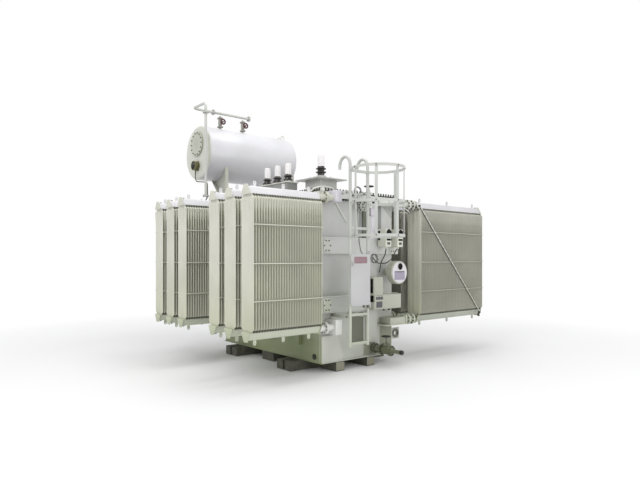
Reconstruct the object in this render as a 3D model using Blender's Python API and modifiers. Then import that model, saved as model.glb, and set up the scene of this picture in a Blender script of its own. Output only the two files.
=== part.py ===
"""Oil-filled power transformer with panel radiators, conservator and access ladder.

Metres, +Z up. The origin lies on the ground under the middle of the tank.
-Y is the ladder side, +Y the conservator side, and the short radiators stand at -X.
"""
import math

import bpy
import bmesh
from mathutils import Matrix, Vector

# Shared sizes
GAP = 0.0003            # clearance between pieces that touch
CUT = 0.05              # how far a cutter overruns what it cuts
BITE = 0.005            # how far fused shapes run into each other
SIDES = 16              # facets of a large round piece
FEW_SIDES = 8           # facets of a pipe or small boss
PLATE = 0.02            # steel plate of brackets and lugs

# Skid frame under the tank
BEAM_HEIGHT = 0.16
BEAM_WIDTH = 0.17
BEAM_SPLIT = 0.05        # between the two halves of a double beam
BEAM_OVERHANG = 0.26
BEAM_INSET = 0.625       # from the tank's end walls to the middle of a double beam
MIDDLE_BEAM_WIDTH = 0.35
RUNNER_WIDTH = 0.18
RUNNER_OVERHANG = 0.04
RUNNER_PLACE_SHARES = (-0.26, 0.163)          # of the tank's width

# Tank and cover
TANK_WIDTH = 1.66
TANK_LENGTH = 2.97
TANK_TOP = 2.82
RIM_OVERHANG = 0.09
RIM_THICKNESS = 0.045
COVER_THICKNESS = 0.045
BAND_HEIGHT = 0.26
BAND_DEPTH = 0.085
LOWER_BAND_BOTTOM = 0.97
UPPER_BAND_BOTTOM = 1.92
RIB_WIDTH = 0.16
RIB_DEPTH = 0.06
RIB_END = 0.25           # from the ribs' ends to the tank's floor and rim
END_RIB_WIDTH = 0.23
END_RIB_SHARE = 0.177    # of the tank's width
SIDE_RIB_SHARE = 1.5     # of the radiators' spacing, from the end radiators' middles
LUG_REACH = 0.29
LUG_HEIGHT = 0.20
LUG_HOLE_RADIUS = 0.045
LUG_BOTTOM = 0.38
LUG_INSET = 0.085
GUSSET_WIDTH = 0.46
GUSSET_TOP_WIDTH = 0.33
GUSSET_DEPTH = 0.04
GUSSET_HEIGHT = 0.44
GUSSET_FOOT = 0.10       # upright part of the sloping side

# Radiators
PANEL_PITCH = 0.045
PANEL_THICKNESS = 0.014
PANEL_WIDTH = 0.33
PANEL_TOP = 2.75
PANEL_BOTTOM = 0.81
PANEL_TAPER = 0.13
HEADER_WIDTH = 0.19
HEADER_HEIGHT = 0.11
HEADER_CREST = 0.10
HEADER_END = 0.03
HEADER_LIP = 0.002       # solid strip between the gaps and the headers
LEFT_PANELS = 28
RIGHT_PANELS = 43
LEFT_REACH = 0.225       # from the wall to the first panel
RIGHT_REACH = 0.43
LEFT_GROUP = 3           # radiators in each of a side's two groups
RIGHT_GROUP = 2
FRONT_RADIATOR_OVERHANG = 0.17                # of the first radiator's middle, past the wall
REAR_RADIATOR_INSET = 0.07
RADIATOR_SPACING = 0.485
PIPE_RADIUS = 0.05
FLANGE_RADIUS = 0.095
FLANGE_THICKNESS = 0.05

# Ducts that carry the end radiators' oil round the corners
DUCT_HEIGHT = 0.24
DUCT_WIDTH = 0.13
DUCT_DEPTH = 0.265
DUCT_INSET = 0.11        # from the tank's side to the duct
LONG_DUCT_WIDTH = 0.38
LONG_DUCT_HEIGHT = 0.12
LONG_DUCT_INSET = -0.08

# Conservator
DRUM_RADIUS = 0.55
DRUM_LENGTH = 2.17
DRUM_END_OVERHANG = 0.416                     # of the drum's near end, past the tank's side
DRUM_SETBACK = 0.461     # of the drum's middle, behind the rear wall
DRUM_RISE = 1.09         # of the drum's middle, above the cover
DRUM_SIDES = 32
COVER_DISC_RADIUS = 0.25
COVER_DISC_THICKNESS = 0.03
COVER_DISC_RISE = 0.18
GAUGE_RADIUS = 0.10
GAUGE_THICKNESS = 0.06
GAUGE_DROP = 0.27
SADDLE_THICKNESS = 0.03
SADDLE_TOP_DROP = 0.30   # from the drum's middle to the saddle's front corner
SADDLE_REAR_REACH = 0.05 # of the saddle's rear corner, past the drum's middle
SADDLE_KNEE = 0.10       # of the sloping edge's lower end, above the cover
SADDLE_FOOT_LENGTH = 0.33
SADDLE_FOOT_RISE = 0.24  # of the foot's own slope
SADDLE_STRIP_WIDTH = 0.07
SADDLE_FLANGE_WIDTH = 0.16
FILLING_SHARES = (0.238, 0.491)               # places of the valves, of the drum's length
FILLING_STUB_RADIUS = 0.022
FILLING_BODY_RADIUS = 0.038
FILLING_FLANGE_RADIUS = 0.05
FILLING_FLANGE = 0.018
FILLING_BOTTOM = 0.05    # of the lower flange, above the drum
FILLING_HEIGHT = 0.20
FILLING_BOSS_RADIUS = 0.018
FILLING_BOSS_REACH = 0.105
AIR_PIPE_RADIUS = 0.03
AIR_PIPE_RISE = 0.315    # above the drum
AIR_FLANGE_RADIUS = 0.06
AIR_FLANGE_THICKNESS = 0.03
AIR_PIPE_FORWARD = 0.536                      # from the drum's middle to the drop pipe
AIR_PIPE_CLEAR = 0.094   # from the drum's end to the drop pipe
AIR_PIPE_DROP = 1.845    # length of the upright part
AIR_JOINT_DROP = 0.18    # from the bend to the joint in the upright part
AIR_END_SHARE = 0.567     # of the drum's length
AIR_JOINT_SHARE = 0.163  # of the drum's length
RELAY_PIPE_RADIUS = 0.045
RELAY_WIDTH = 0.20
RELAY_HEIGHT = 0.24
RELAY_SHARE = 0.65       # of the drum's length
RELAY_FOOT_INSET = 0.32  # from the rear wall
RELAY_RISE = 0.30
RELAY_SLOPE = 0.05

# Handwheels
TOP_WHEEL_RADIUS = 0.055
WHEEL_RADIUS = 0.083
WHEEL_RIM = 0.011
WHEEL_HUB = 0.02
WHEEL_SPOKES = 4
WHEEL_FACETS = 12
WHEEL_RIM_FACETS = 4

# Bushings
BUSHING_SIDES = 12
SMALL_CAP_RADIUS = 0.055
SMALL_CAP_HEIGHT = 0.21
SMALL_SHED_RADIUS = 0.078
SMALL_SHED_HEIGHT = 0.14
SMALL_BUSHING_INSET = 0.37                    # from the tank's side
SMALL_BUSHING_SHARE = -0.04                   # place of the first one, of the tank's length
SMALL_BUSHING_SPACING = 0.34
SMALL_BUSHINGS = 3
LARGE_CAP_RADIUS = 0.065
LARGE_CAP_HEIGHT = 0.21
LARGE_SHED_RADIUS = 0.095
LARGE_SHED_HEIGHT = 0.24
LARGE_BUSHING_INSET = 0.64                    # from the tank's side
LARGE_BUSHING_SETBACK = 0.745                 # from the front wall
DOME_SHARE = 0.6         # of a cap's radius, at its top
SHOULDER_SHARE = 0.85    # of a cap's height
SHED_EDGE_SHARE = 0.6    # of a shed's height
TURRET_HEIGHT = 0.33
TURRET_PLATE = 0.02
LARGE_TURRET_WIDTH = 0.40
LARGE_TURRET_PLATE_WIDTH = 0.66
SMALL_TURRET_WIDTH = 0.24
SMALL_TURRET_MARGIN = 0.14

# Ladder
LADDER_INSET = 0.265     # from the tank's side to the left rail
LADDER_WIDTH = 0.382     # between the rails' middles
LADDER_DISTANCE = 0.425  # from the front wall
LADDER_BOTTOM = 0.455
LADDER_TOP = 3.31
RAIL_RADIUS = 0.028
RAIL_SIDES = 8           # of a bar bent from a curve
RUNG_RADIUS = 0.015
RUNG_SIDES = 6
RUNG_PITCH = 0.455
FIRST_RUNG_RISE = 0.045
HOOK_RISE = 0.145
HOOK_REACH = 0.245
# Points of a hook, as shares of its reach and rise
HOOK_SHARES = ((0, 0), (0.07, 0.5), (0.25, 0.87), (0.5, 1.0), (0.75, 0.87), (0.93, 0.5), (1.0, -0.2))
LOW_STANDOFF_DROP = 0.045                     # below the lower band
STANDOFF_RADIUS = 0.02
CAGE_RADIUS = 0.403
CAGE_OFFSET = 0.424
CAGE_TOP = 3.22
CAGE_HOOP_PITCH = 0.515
CAGE_HOOPS = 3
CAGE_BAR = 0.05
CAGE_HOOP_HEIGHT = 0.04
CAGE_BAR_THICKNESS = 0.010
CAGE_BAR_ANGLES = (-105.0, -50.0, 0.0, 50.0, 92.0)
CAGE_SEGMENTS = 12
GUARD_BOTTOM = 1.10
GUARD_WIDTH = 0.425
GUARD_HEIGHT = 0.815
GUARD_THICKNESS = 0.012
GUARD_OVERHANG = 0.01    # of the hinge, past the right rail
GUARD_HINGE_RADIUS = 0.012
GUARD_BARREL = 0.08
GUARD_CLEARANCE = 0.006  # between the hinge barrels and the rails

# Instruments on the ladder side, placed from the tank's right side
INDICATOR_WIDTH = 0.14
INDICATOR_DEPTH = 0.20
INDICATOR_HEIGHT = 0.31
INDICATOR_BOTTOM = 2.04
INDICATOR_INSET = 0.095
INDICATOR_SPACING = 0.295
INDICATORS = 2
INDICATOR_DISTANCE = 0.305
MONITOR_RADIUS = 0.20
MONITOR_INSET = 0.155
MONITOR_HEIGHT = 1.60
MONITOR_DEPTH = 0.135
MONITOR_STEM = 0.06
MONITOR_DISTANCE = 0.335
BOX_INSET = 0.02
BOX_WIDTH = 0.68
BOX_TALL_WIDTH = 0.23
BOX_BOTTOM = 0.98
BOX_STEP = 1.23
BOX_TOP = 1.53
BOX_DEPTH = 0.17

# Valves on the ladder side
DRAIN_INSET = 0.45
DRAIN_HEIGHT = 0.29
DRAIN_REACH = 0.675
DRAIN_STEM_SHARE = 0.444                      # of the reach
DRAIN_FLANGE_SHARES = (0.25, 0.56)            # of the reach
DRAIN_WHEEL_RISE = 0.23
DRAIN_BODY_RADIUS = 0.085
TOP_VALVE_INSET = 0.816
TOP_VALVE_DISTANCE = 0.255
TOP_VALVE_HEIGHT = 2.72
TOP_WHEEL_RISE = 0.32
STEM_RADIUS = 0.026

# Colours (linear), roughness and metallic value of each finish
FINISHES = {
    "grey_enamel": ((0.56, 0.57, 0.50), 0.45, 0.0),
    "beam_paint": ((0.05, 0.055, 0.045), 0.7, 0.0),
    "porcelain_black": ((0.012, 0.012, 0.014), 0.25, 0.0),
    "wheel_maroon": ((0.05, 0.015, 0.015), 0.5, 0.0),
    "wheel_black": ((0.012, 0.012, 0.012), 0.5, 0.0),
    "dial_dark": ((0.02, 0.02, 0.022), 0.3, 0.0),
}
SMOOTH_ANGLE = 35.0

TANK_BOTTOM = BEAM_HEIGHT + GAP
HALF_WIDTH = TANK_WIDTH / 2
HALF_LENGTH = TANK_LENGTH / 2
RIM_TOP = TANK_TOP + RIM_THICKNESS
COVER_BOTTOM = RIM_TOP + GAP
COVER_TOP = COVER_BOTTOM + COVER_THICKNESS
PIPE_TOP_HEIGHT = PANEL_TOP + HEADER_HEIGHT / 2
PIPE_BOTTOM_HEIGHT = PANEL_BOTTOM - HEADER_HEIGHT / 2
FRONT_LINE = -HALF_LENGTH - FRONT_RADIATOR_OVERHANG
REAR_LINE = HALF_LENGTH - REAR_RADIATOR_INSET
DRUM_END_X = -HALF_WIDTH - DRUM_END_OVERHANG
DRUM_Y = HALF_LENGTH + DRUM_SETBACK
DRUM_HEIGHT = COVER_TOP + DRUM_RISE
DRUM_TOP = DRUM_HEIGHT + DRUM_RADIUS
LADDER_LEFT = -HALF_WIDTH + LADDER_INSET
LADDER_RIGHT = LADDER_LEFT + LADDER_WIDTH
LADDER_MIDDLE = LADDER_LEFT + LADDER_WIDTH / 2
LADDER_Y = -HALF_LENGTH - LADDER_DISTANCE
HINGE_X = LADDER_RIGHT + GUARD_OVERHANG
HINGE_Y = LADDER_Y - RAIL_RADIUS - GUARD_HINGE_RADIUS - GUARD_CLEARANCE
INDICATOR_FRONT = -HALF_LENGTH - INDICATOR_DISTANCE
MONITOR_FRONT = -HALF_LENGTH - MONITOR_DISTANCE
TOP_VALVE_Y = -HALF_LENGTH - TOP_VALVE_DISTANCE


def clear_scene():
    """Remove every object that the file opened with."""
    for old in list(bpy.data.objects):
        bpy.data.objects.remove(old, do_unlink=True)


def collection(name):
    made = bpy.data.collections.new(name)
    bpy.context.scene.collection.children.link(made)
    return made


def finish(name):
    """Return the named material, made on first use."""
    known = bpy.data.materials.get(name)
    if known:
        return known
    colour, roughness, metallic = FINISHES[name]
    made = bpy.data.materials.new(name)
    made.use_nodes = True
    shader = made.node_tree.nodes["Principled BSDF"]
    shader.inputs["Base Color"].default_value = (*colour, 1.0)
    shader.inputs["Roughness"].default_value = roughness
    shader.inputs["Metallic"].default_value = metallic
    return made


def add_box(bm, low, high):
    """Add an upright box between two opposite corners."""
    verts = bmesh.ops.create_cube(bm, size=1)["verts"]
    low, high = Vector(low), Vector(high)
    bmesh.ops.scale(bm, vec=high - low, verts=verts)
    bmesh.ops.translate(bm, vec=(low + high) / 2, verts=verts)


def add_rod(bm, start, end, radius, sides=FEW_SIDES, end_radius=None):
    """Add a capped cylinder or cone between two points."""
    start, end = Vector(start), Vector(end)
    axis = end - start
    turn = axis.to_track_quat("Z", "Y").to_matrix().to_4x4()
    place = Matrix.Translation((start + end) / 2) @ turn
    bmesh.ops.create_cone(
        bm, cap_ends=True, segments=sides, radius1=radius,
        radius2=radius if end_radius is None else end_radius,
        depth=axis.length, matrix=place)


def add_prism(bm, outline, thickness_axis, start, end):
    """Extrude a closed outline of (across, up) points along X or Y."""
    if thickness_axis == "X":
        points = [Vector((start, across, up)) for across, up in outline]
        shift = Vector((end - start, 0, 0))
    else:
        points = [Vector((across, start, up)) for across, up in outline]
        shift = Vector((0, end - start, 0))
    face = bm.faces.new([bm.verts.new(point) for point in points])
    grown = bmesh.ops.extrude_face_region(bm, geom=[face])["geom"]
    moved = [item for item in grown if isinstance(item, bmesh.types.BMVert)]
    bmesh.ops.translate(bm, vec=shift, verts=moved)
    bmesh.ops.recalc_face_normals(bm, faces=bm.faces[:])


def piece(name, builder, material, place=None, group=None):
    """Make an object from a function that fills a bmesh."""
    mesh = bpy.data.meshes.new(name)
    bm = bmesh.new()
    builder(bm)
    bm.to_mesh(mesh)
    bm.free()
    mesh.materials.append(finish(material))
    made = bpy.data.objects.new(name, mesh)
    (group or PARTS).objects.link(made)
    if place is not None:
        made.location = place
    return made


def tool(name, builder):
    """Make a hidden cutter or a shape to be fused in."""
    made = piece(name, builder, "grey_enamel", group=CUTTERS)
    made.hide_render = True
    made.display_type = "WIRE"
    return made


def combine(target, other, operation):
    """Cut or fuse one mesh object into another."""
    modifier = target.modifiers.new(other.name, "BOOLEAN")
    modifier.operation = operation
    modifier.object = other
    modifier.solver = "EXACT"


def smooth(target):
    target.data.shade_smooth()
    target.data.set_sharp_from_angle(angle=math.radians(SMOOTH_ANGLE))


def turned(name, profile, material, place, steps=SIDES):
    """Revolve (radius, height) points, top to bottom, about a vertical axis."""
    def build(bm):
        verts = [bm.verts.new((radius, 0, height)) for radius, height in profile]
        for first, second in zip(verts, verts[1:]):
            bm.edges.new((first, second))
    made = piece(name, build, material, place)
    screw = made.modifiers.new("turn", "SCREW")
    screw.steps = steps
    screw.render_steps = steps
    screw.use_merge_vertices = True
    screw.merge_threshold = 0.0001
    return made


def wheel_builder(radius):
    """Ring, hub and spokes of a handwheel, as separate closed shapes."""
    def ring(bm):
        verts = []
        for index in range(WHEEL_RIM_FACETS):
            angle = math.tau * index / WHEEL_RIM_FACETS
            verts.append(bm.verts.new((radius - WHEEL_RIM + WHEEL_RIM * math.cos(angle), 0,
                                       WHEEL_RIM * math.sin(angle))))
        edges = [bm.edges.new((verts[i], verts[(i + 1) % len(verts)])) for i in range(len(verts))]
        bmesh.ops.spin(bm, geom=verts + edges, cent=(0, 0, 0), axis=(0, 0, 1), angle=math.tau,
                       steps=WHEEL_FACETS, use_merge=True)
        bmesh.ops.recalc_face_normals(bm, faces=bm.faces[:])

    def hub(bm):
        add_rod(bm, (0, 0, -WHEEL_HUB), (0, 0, WHEEL_HUB), WHEEL_HUB)
    return ring, hub


def handwheel(name, place, radius, material, tilt=0.0):
    """Spoked handwheel with its origin on its axis, upright or tilted towards -Y."""
    ring, hub = wheel_builder(radius)
    made = piece(name, ring, material, place)
    made.rotation_euler.x = tilt
    middle = tool(name + "_hub", hub)
    middle.location = place
    middle.rotation_euler.x = tilt
    combine(made, middle, "UNION")
    for index in range(WHEEL_SPOKES // 2):
        angle = math.pi * index / (WHEEL_SPOKES // 2) + math.pi / WHEEL_FACETS
        reach = radius - WHEEL_RIM
        half = Vector((math.cos(angle), math.sin(angle), 0)) * reach

        def spoke(bm, half=half):
            add_rod(bm, -half, half, WHEEL_RIM / 2, sides=4)
        arm = tool(f"{name}_spoke_{index + 1}", spoke)
        arm.location = place
        arm.rotation_euler.x = tilt
        combine(made, arm, "UNION")


def make_skid_frame():
    """Beams across the tank, joined by two runners along it."""
    def beams(bm):
        reach = HALF_WIDTH + BEAM_OVERHANG
        middle = HALF_LENGTH - BEAM_INSET
        for end in (-middle, middle):
            for near in (end - BEAM_SPLIT / 2 - BEAM_WIDTH, end + BEAM_SPLIT / 2):
                add_box(bm, (-reach, near, 0), (reach, near + BEAM_WIDTH, BEAM_HEIGHT))
        add_box(bm, (-HALF_WIDTH, -MIDDLE_BEAM_WIDTH / 2, 0),
                (HALF_WIDTH, MIDDLE_BEAM_WIDTH / 2, BEAM_HEIGHT))

    def runners(bm):
        reach = HALF_LENGTH + RUNNER_OVERHANG
        for share in RUNNER_PLACE_SHARES:
            middle = share * TANK_WIDTH
            add_box(bm, (middle - RUNNER_WIDTH / 2, -reach, 0),
                    (middle + RUNNER_WIDTH / 2, reach, BEAM_HEIGHT))
    frame = piece("skid_frame", beams, "beam_paint")
    combine(frame, tool("skid_runners", runners), "UNION")


def radiator_lines(group):
    """Return the Y of each radiator's middle on one side, front to back."""
    steps = [index * RADIATOR_SPACING for index in range(group)]
    return [FRONT_LINE + step for step in steps] + sorted(REAR_LINE - step for step in steps)


def make_tank():
    """Welded tank with its box bands, ribs, corner gussets and lugs."""
    def shell(bm):
        add_box(bm, (-HALF_WIDTH, -HALF_LENGTH, TANK_BOTTOM), (HALF_WIDTH, HALF_LENGTH, RIM_TOP))

    def bands(bm):
        for bottom in (LOWER_BAND_BOTTOM, UPPER_BAND_BOTTOM):
            add_box(bm, (-HALF_WIDTH - BAND_DEPTH, -HALF_LENGTH - BAND_DEPTH, bottom),
                    (HALF_WIDTH + BAND_DEPTH, HALF_LENGTH + BAND_DEPTH, bottom + BAND_HEIGHT))
        add_box(bm, (-HALF_WIDTH - RIM_OVERHANG, -HALF_LENGTH - RIM_OVERHANG, TANK_TOP),
                (HALF_WIDTH + RIM_OVERHANG, HALF_LENGTH + RIM_OVERHANG, RIM_TOP))

    def end_ribs(bm):
        middle = END_RIB_SHARE * TANK_WIDTH
        add_box(bm, (middle - END_RIB_WIDTH / 2, -HALF_LENGTH - RIB_DEPTH, TANK_BOTTOM + RIB_END),
                (middle + END_RIB_WIDTH / 2, HALF_LENGTH + RIB_DEPTH, TANK_TOP - RIB_END))

    def side_ribs(bm):
        inset = SIDE_RIB_SHARE * RADIATOR_SPACING
        for middle in (FRONT_LINE + inset, (FRONT_LINE + REAR_LINE) / 2, REAR_LINE - inset):
            add_box(bm, (-HALF_WIDTH - RIB_DEPTH, middle - RIB_WIDTH / 2, TANK_BOTTOM + RIB_END),
                    (HALF_WIDTH + RIB_DEPTH, middle + RIB_WIDTH / 2, TANK_TOP - RIB_END))

    def gussets(bm):
        foot = TANK_BOTTOM + GUSSET_FOOT
        outline = [(-HALF_WIDTH, TANK_BOTTOM), (-HALF_WIDTH + GUSSET_WIDTH, TANK_BOTTOM),
                   (-HALF_WIDTH + GUSSET_WIDTH, foot),
                   (-HALF_WIDTH + GUSSET_TOP_WIDTH, TANK_BOTTOM + GUSSET_HEIGHT),
                   (-HALF_WIDTH, TANK_BOTTOM + GUSSET_HEIGHT)]
        for end in (-1, 1):
            add_prism(bm, outline, "Y", end * (HALF_LENGTH - BITE), end * (HALF_LENGTH + GUSSET_DEPTH))

    def lugs(bm):
        for end in (-1, 1):
            middle = end * (HALF_LENGTH - LUG_INSET)
            add_box(bm, (HALF_WIDTH - BITE, middle - PLATE / 2, LUG_BOTTOM),
                    (HALF_WIDTH + LUG_REACH, middle + PLATE / 2, LUG_BOTTOM + LUG_HEIGHT))

    def lug_holes(bm):
        across = HALF_WIDTH + LUG_REACH - LUG_HEIGHT / 2
        up = LUG_BOTTOM + LUG_HEIGHT / 2
        for end in (-1, 1):
            middle = end * (HALF_LENGTH - LUG_INSET)
            add_rod(bm, (across, middle - CUT, up), (across, middle + CUT, up), LUG_HOLE_RADIUS)

    tank = piece("tank", shell, "grey_enamel")
    for name, build, operation in (
            ("tank_bands", bands, "UNION"), ("tank_end_ribs", end_ribs, "UNION"),
            ("tank_side_ribs", side_ribs, "UNION"), ("tank_gussets", gussets, "UNION"),
            ("tank_lugs", lugs, "UNION"), ("tank_lug_holes", lug_holes, "DIFFERENCE")):
        combine(tank, tool(name, build), operation)


def make_cover():
    def plate(bm):
        add_box(bm, (-HALF_WIDTH - RIM_OVERHANG, -HALF_LENGTH - RIM_OVERHANG, COVER_BOTTOM),
                (HALF_WIDTH + RIM_OVERHANG, HALF_LENGTH + RIM_OVERHANG, COVER_TOP))
    piece("tank_cover", plate, "grey_enamel")


def radiator_outline():
    """End view of a radiator: panels, tapered ends and both headers."""
    half = PANEL_WIDTH / 2
    neck = HEADER_WIDTH / 2
    crest = HEADER_CREST / 2
    right = [(crest, PANEL_BOTTOM - HEADER_HEIGHT), (neck, PANEL_BOTTOM), (half, PANEL_BOTTOM + PANEL_TAPER),
             (half, PANEL_TOP - PANEL_TAPER), (neck, PANEL_TOP), (crest, PANEL_TOP + HEADER_HEIGHT)]
    return right + [(-across, up) for across, up in reversed(right)]


def make_radiators():
    """Banks of vertical oil panels hung between an upper and a lower header."""
    def slot(bm):
        half = PANEL_WIDTH / 2 + CUT
        add_box(bm, (0, -half, PANEL_BOTTOM + HEADER_LIP),
                (PANEL_PITCH - PANEL_THICKNESS, half, PANEL_TOP - HEADER_LIP))

    for side, word, count, reach, group in (
            (-1, "left", LEFT_PANELS, LEFT_REACH, LEFT_GROUP),
            (1, "right", RIGHT_PANELS, RIGHT_REACH, RIGHT_GROUP)):
        pack = (count - 1) * PANEL_PITCH + PANEL_THICKNESS
        near = HALF_WIDTH + reach
        inner, outer = near - HEADER_END, near + pack + HEADER_END
        width = PANEL_PITCH - PANEL_THICKNESS
        first_gap = near - width

        def block(bm):
            add_prism(bm, radiator_outline(), "X", side * inner, side * outer)

        def stubs(bm):
            for height in (PIPE_BOTTOM_HEIGHT, PIPE_TOP_HEIGHT):
                add_rod(bm, (side * (HALF_WIDTH + GAP), 0, height), (side * (inner + BITE), 0, height),
                        PIPE_RADIUS)

        def flanges(bm):
            for height in (PIPE_BOTTOM_HEIGHT, PIPE_TOP_HEIGHT):
                start = side * (inner - FLANGE_THICKNESS - BITE)
                add_rod(bm, (start, 0, height), (start + side * FLANGE_THICKNESS, 0, height), FLANGE_RADIUS)

        def rim_room(bm):
            add_box(bm, (-HALF_WIDTH - RIM_OVERHANG - GAP, -FLANGE_RADIUS, TANK_TOP - GAP),
                    (HALF_WIDTH + RIM_OVERHANG + GAP, FLANGE_RADIUS, COVER_TOP))

        for number, line in enumerate(radiator_lines(group), start=1):
            name = f"radiator_{word}_{number}"
            radiator = piece(name, block, "grey_enamel", (0, line, 0))
            cutter = tool(name + "_slots", slot)
            cutter.location = (first_gap if side > 0 else -near, line, 0)
            array = cutter.modifiers.new("pitch", "ARRAY")
            array.count = count + 1
            array.use_relative_offset = False
            array.use_constant_offset = True
            array.constant_offset_displace = (side * PANEL_PITCH, 0, 0)
            combine(radiator, cutter, "DIFFERENCE")
            if line > -HALF_LENGTH:
                for kind, build, operation in (("stubs", stubs, "UNION"), ("flanges", flanges, "UNION"),
                                               ("rim_room", rim_room, "DIFFERENCE")):
                    fitting = tool(f"{name}_{kind}", build)
                    fitting.location = radiator.location
                    combine(radiator, fitting, operation)


def make_ducts():
    """Boxes on the front wall with pipes to the radiators that stand past it."""
    wall = -HALF_LENGTH - GAP
    face = -HALF_LENGTH - DUCT_DEPTH

    def rim_room(bm):
        add_box(bm, (-HALF_WIDTH - RIM_OVERHANG, -HALF_LENGTH - RIM_OVERHANG - GAP, TANK_TOP - GAP),
                (HALF_WIDTH + RIM_OVERHANG, wall + CUT, COVER_TOP + CUT))

    for side, word, reach, width, inset, tall in (
            (-1, "left", LEFT_REACH, DUCT_WIDTH, DUCT_INSET, DUCT_HEIGHT),
            (1, "right", RIGHT_REACH, LONG_DUCT_WIDTH, LONG_DUCT_INSET, LONG_DUCT_HEIGHT)):
        outer = side * (HALF_WIDTH - inset)
        inner = outer - side * width
        end = side * (HALF_WIDTH + reach - HEADER_END - GAP)
        for height, word_height in ((PIPE_BOTTOM_HEIGHT, "lower"), (PIPE_TOP_HEIGHT, "upper")):
            def duct(bm):
                add_box(bm, (inner, face, height - tall / 2), (outer, wall, height + tall / 2))

            def pipe(bm):
                add_rod(bm, (outer - side * width / 2, FRONT_LINE, height), (end, FRONT_LINE, height),
                        PIPE_RADIUS)

            def flange(bm):
                add_rod(bm, (end - side * FLANGE_THICKNESS, FRONT_LINE, height), (end, FRONT_LINE, height),
                        FLANGE_RADIUS)
            name = f"{word}_{word_height}_duct"
            made = piece(name, duct, "grey_enamel")
            combine(made, tool(name + "_pipe", pipe), "UNION")
            combine(made, tool(name + "_flange", flange), "UNION")
            if word_height == "upper":
                combine(made, tool(name + "_rim_room", rim_room), "DIFFERENCE")


def make_conservator():
    """Horizontal oil drum over the rear wall, with its end cover and gauge."""
    def drum(bm):
        add_rod(bm, (0, 0, 0), (DRUM_LENGTH, 0, 0), DRUM_RADIUS, sides=DRUM_SIDES)
    made = piece("conservator", drum, "grey_enamel", (DRUM_END_X, DRUM_Y, DRUM_HEIGHT))
    smooth(made)

    def disc(bm):
        add_rod(bm, (-COVER_DISC_THICKNESS, 0, 0), (0, 0, 0), COVER_DISC_RADIUS, sides=SIDES)
    piece("conservator_end_cover", disc, "grey_enamel",
          (DRUM_END_X - GAP, DRUM_Y, DRUM_HEIGHT + COVER_DISC_RISE))

    def gauge(bm):
        add_rod(bm, (-GAUGE_THICKNESS, 0, 0), (0, 0, 0), GAUGE_RADIUS, sides=SIDES)
    piece("oil_level_gauge", gauge, "dial_dark",
          (DRUM_END_X - GAP, DRUM_Y, DRUM_HEIGHT - GAUGE_DROP))


def trim_to_drum(target, name):
    """Cut away what would reach into the drum."""
    def seat(bm):
        add_rod(bm, (0, 0, 0), (DRUM_LENGTH, 0, 0), DRUM_RADIUS + GAP * 2, sides=DRUM_SIDES)
    cutter = tool(name, seat)
    cutter.location = (DRUM_END_X, DRUM_Y, DRUM_HEIGHT)
    combine(target, cutter, "DIFFERENCE")


def make_saddles():
    """Brackets on the cover's rear edge that carry the drum."""
    front = HALF_LENGTH
    edge = HALF_LENGTH + RIM_OVERHANG
    foot = COVER_TOP + GAP
    top = DRUM_HEIGHT - SADDLE_TOP_DROP
    rear = DRUM_Y + SADDLE_REAR_REACH
    knee = foot + SADDLE_KNEE
    rise = DRUM_HEIGHT - DRUM_RADIUS + PLATE - knee
    web_outline = [(front, top), (rear, top), (rear, knee + rise), (edge, knee), (edge, foot),
                   (edge - SADDLE_FOOT_LENGTH, foot), (edge - SADDLE_FOOT_LENGTH, foot + PLATE),
                   (front, foot + SADDLE_FOOT_RISE)]
    flange_outline = [(edge - PLATE, knee), (edge, knee), (rear, knee + rise), (rear - PLATE, knee + rise)]
    for number, middle in enumerate((-HALF_WIDTH, HALF_WIDTH), start=1):
        def web(bm):
            add_prism(bm, web_outline, "X", middle - SADDLE_THICKNESS / 2, middle + SADDLE_THICKNESS / 2)

        def strip(bm):
            add_box(bm, (middle - SADDLE_STRIP_WIDTH / 2, front, foot + SADDLE_FOOT_RISE - PLATE),
                    (middle + SADDLE_STRIP_WIDTH / 2, front + PLATE, top))

        def flange(bm):
            add_prism(bm, flange_outline, "X", middle - SADDLE_FLANGE_WIDTH / 2,
                      middle + SADDLE_FLANGE_WIDTH / 2)

        def base(bm):
            add_box(bm, (middle - SADDLE_FLANGE_WIDTH / 2, edge - SADDLE_FOOT_LENGTH, foot),
                    (middle + SADDLE_FLANGE_WIDTH / 2, edge, foot + PLATE))
        saddle = piece(f"conservator_saddle_{number}", web, "grey_enamel")
        for kind, build in (("strip", strip), ("flange", flange), ("base", base)):
            combine(saddle, tool(f"saddle_{kind}_{number}", build), "UNION")
        trim_to_drum(saddle, f"saddle_seat_{number}")


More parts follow.
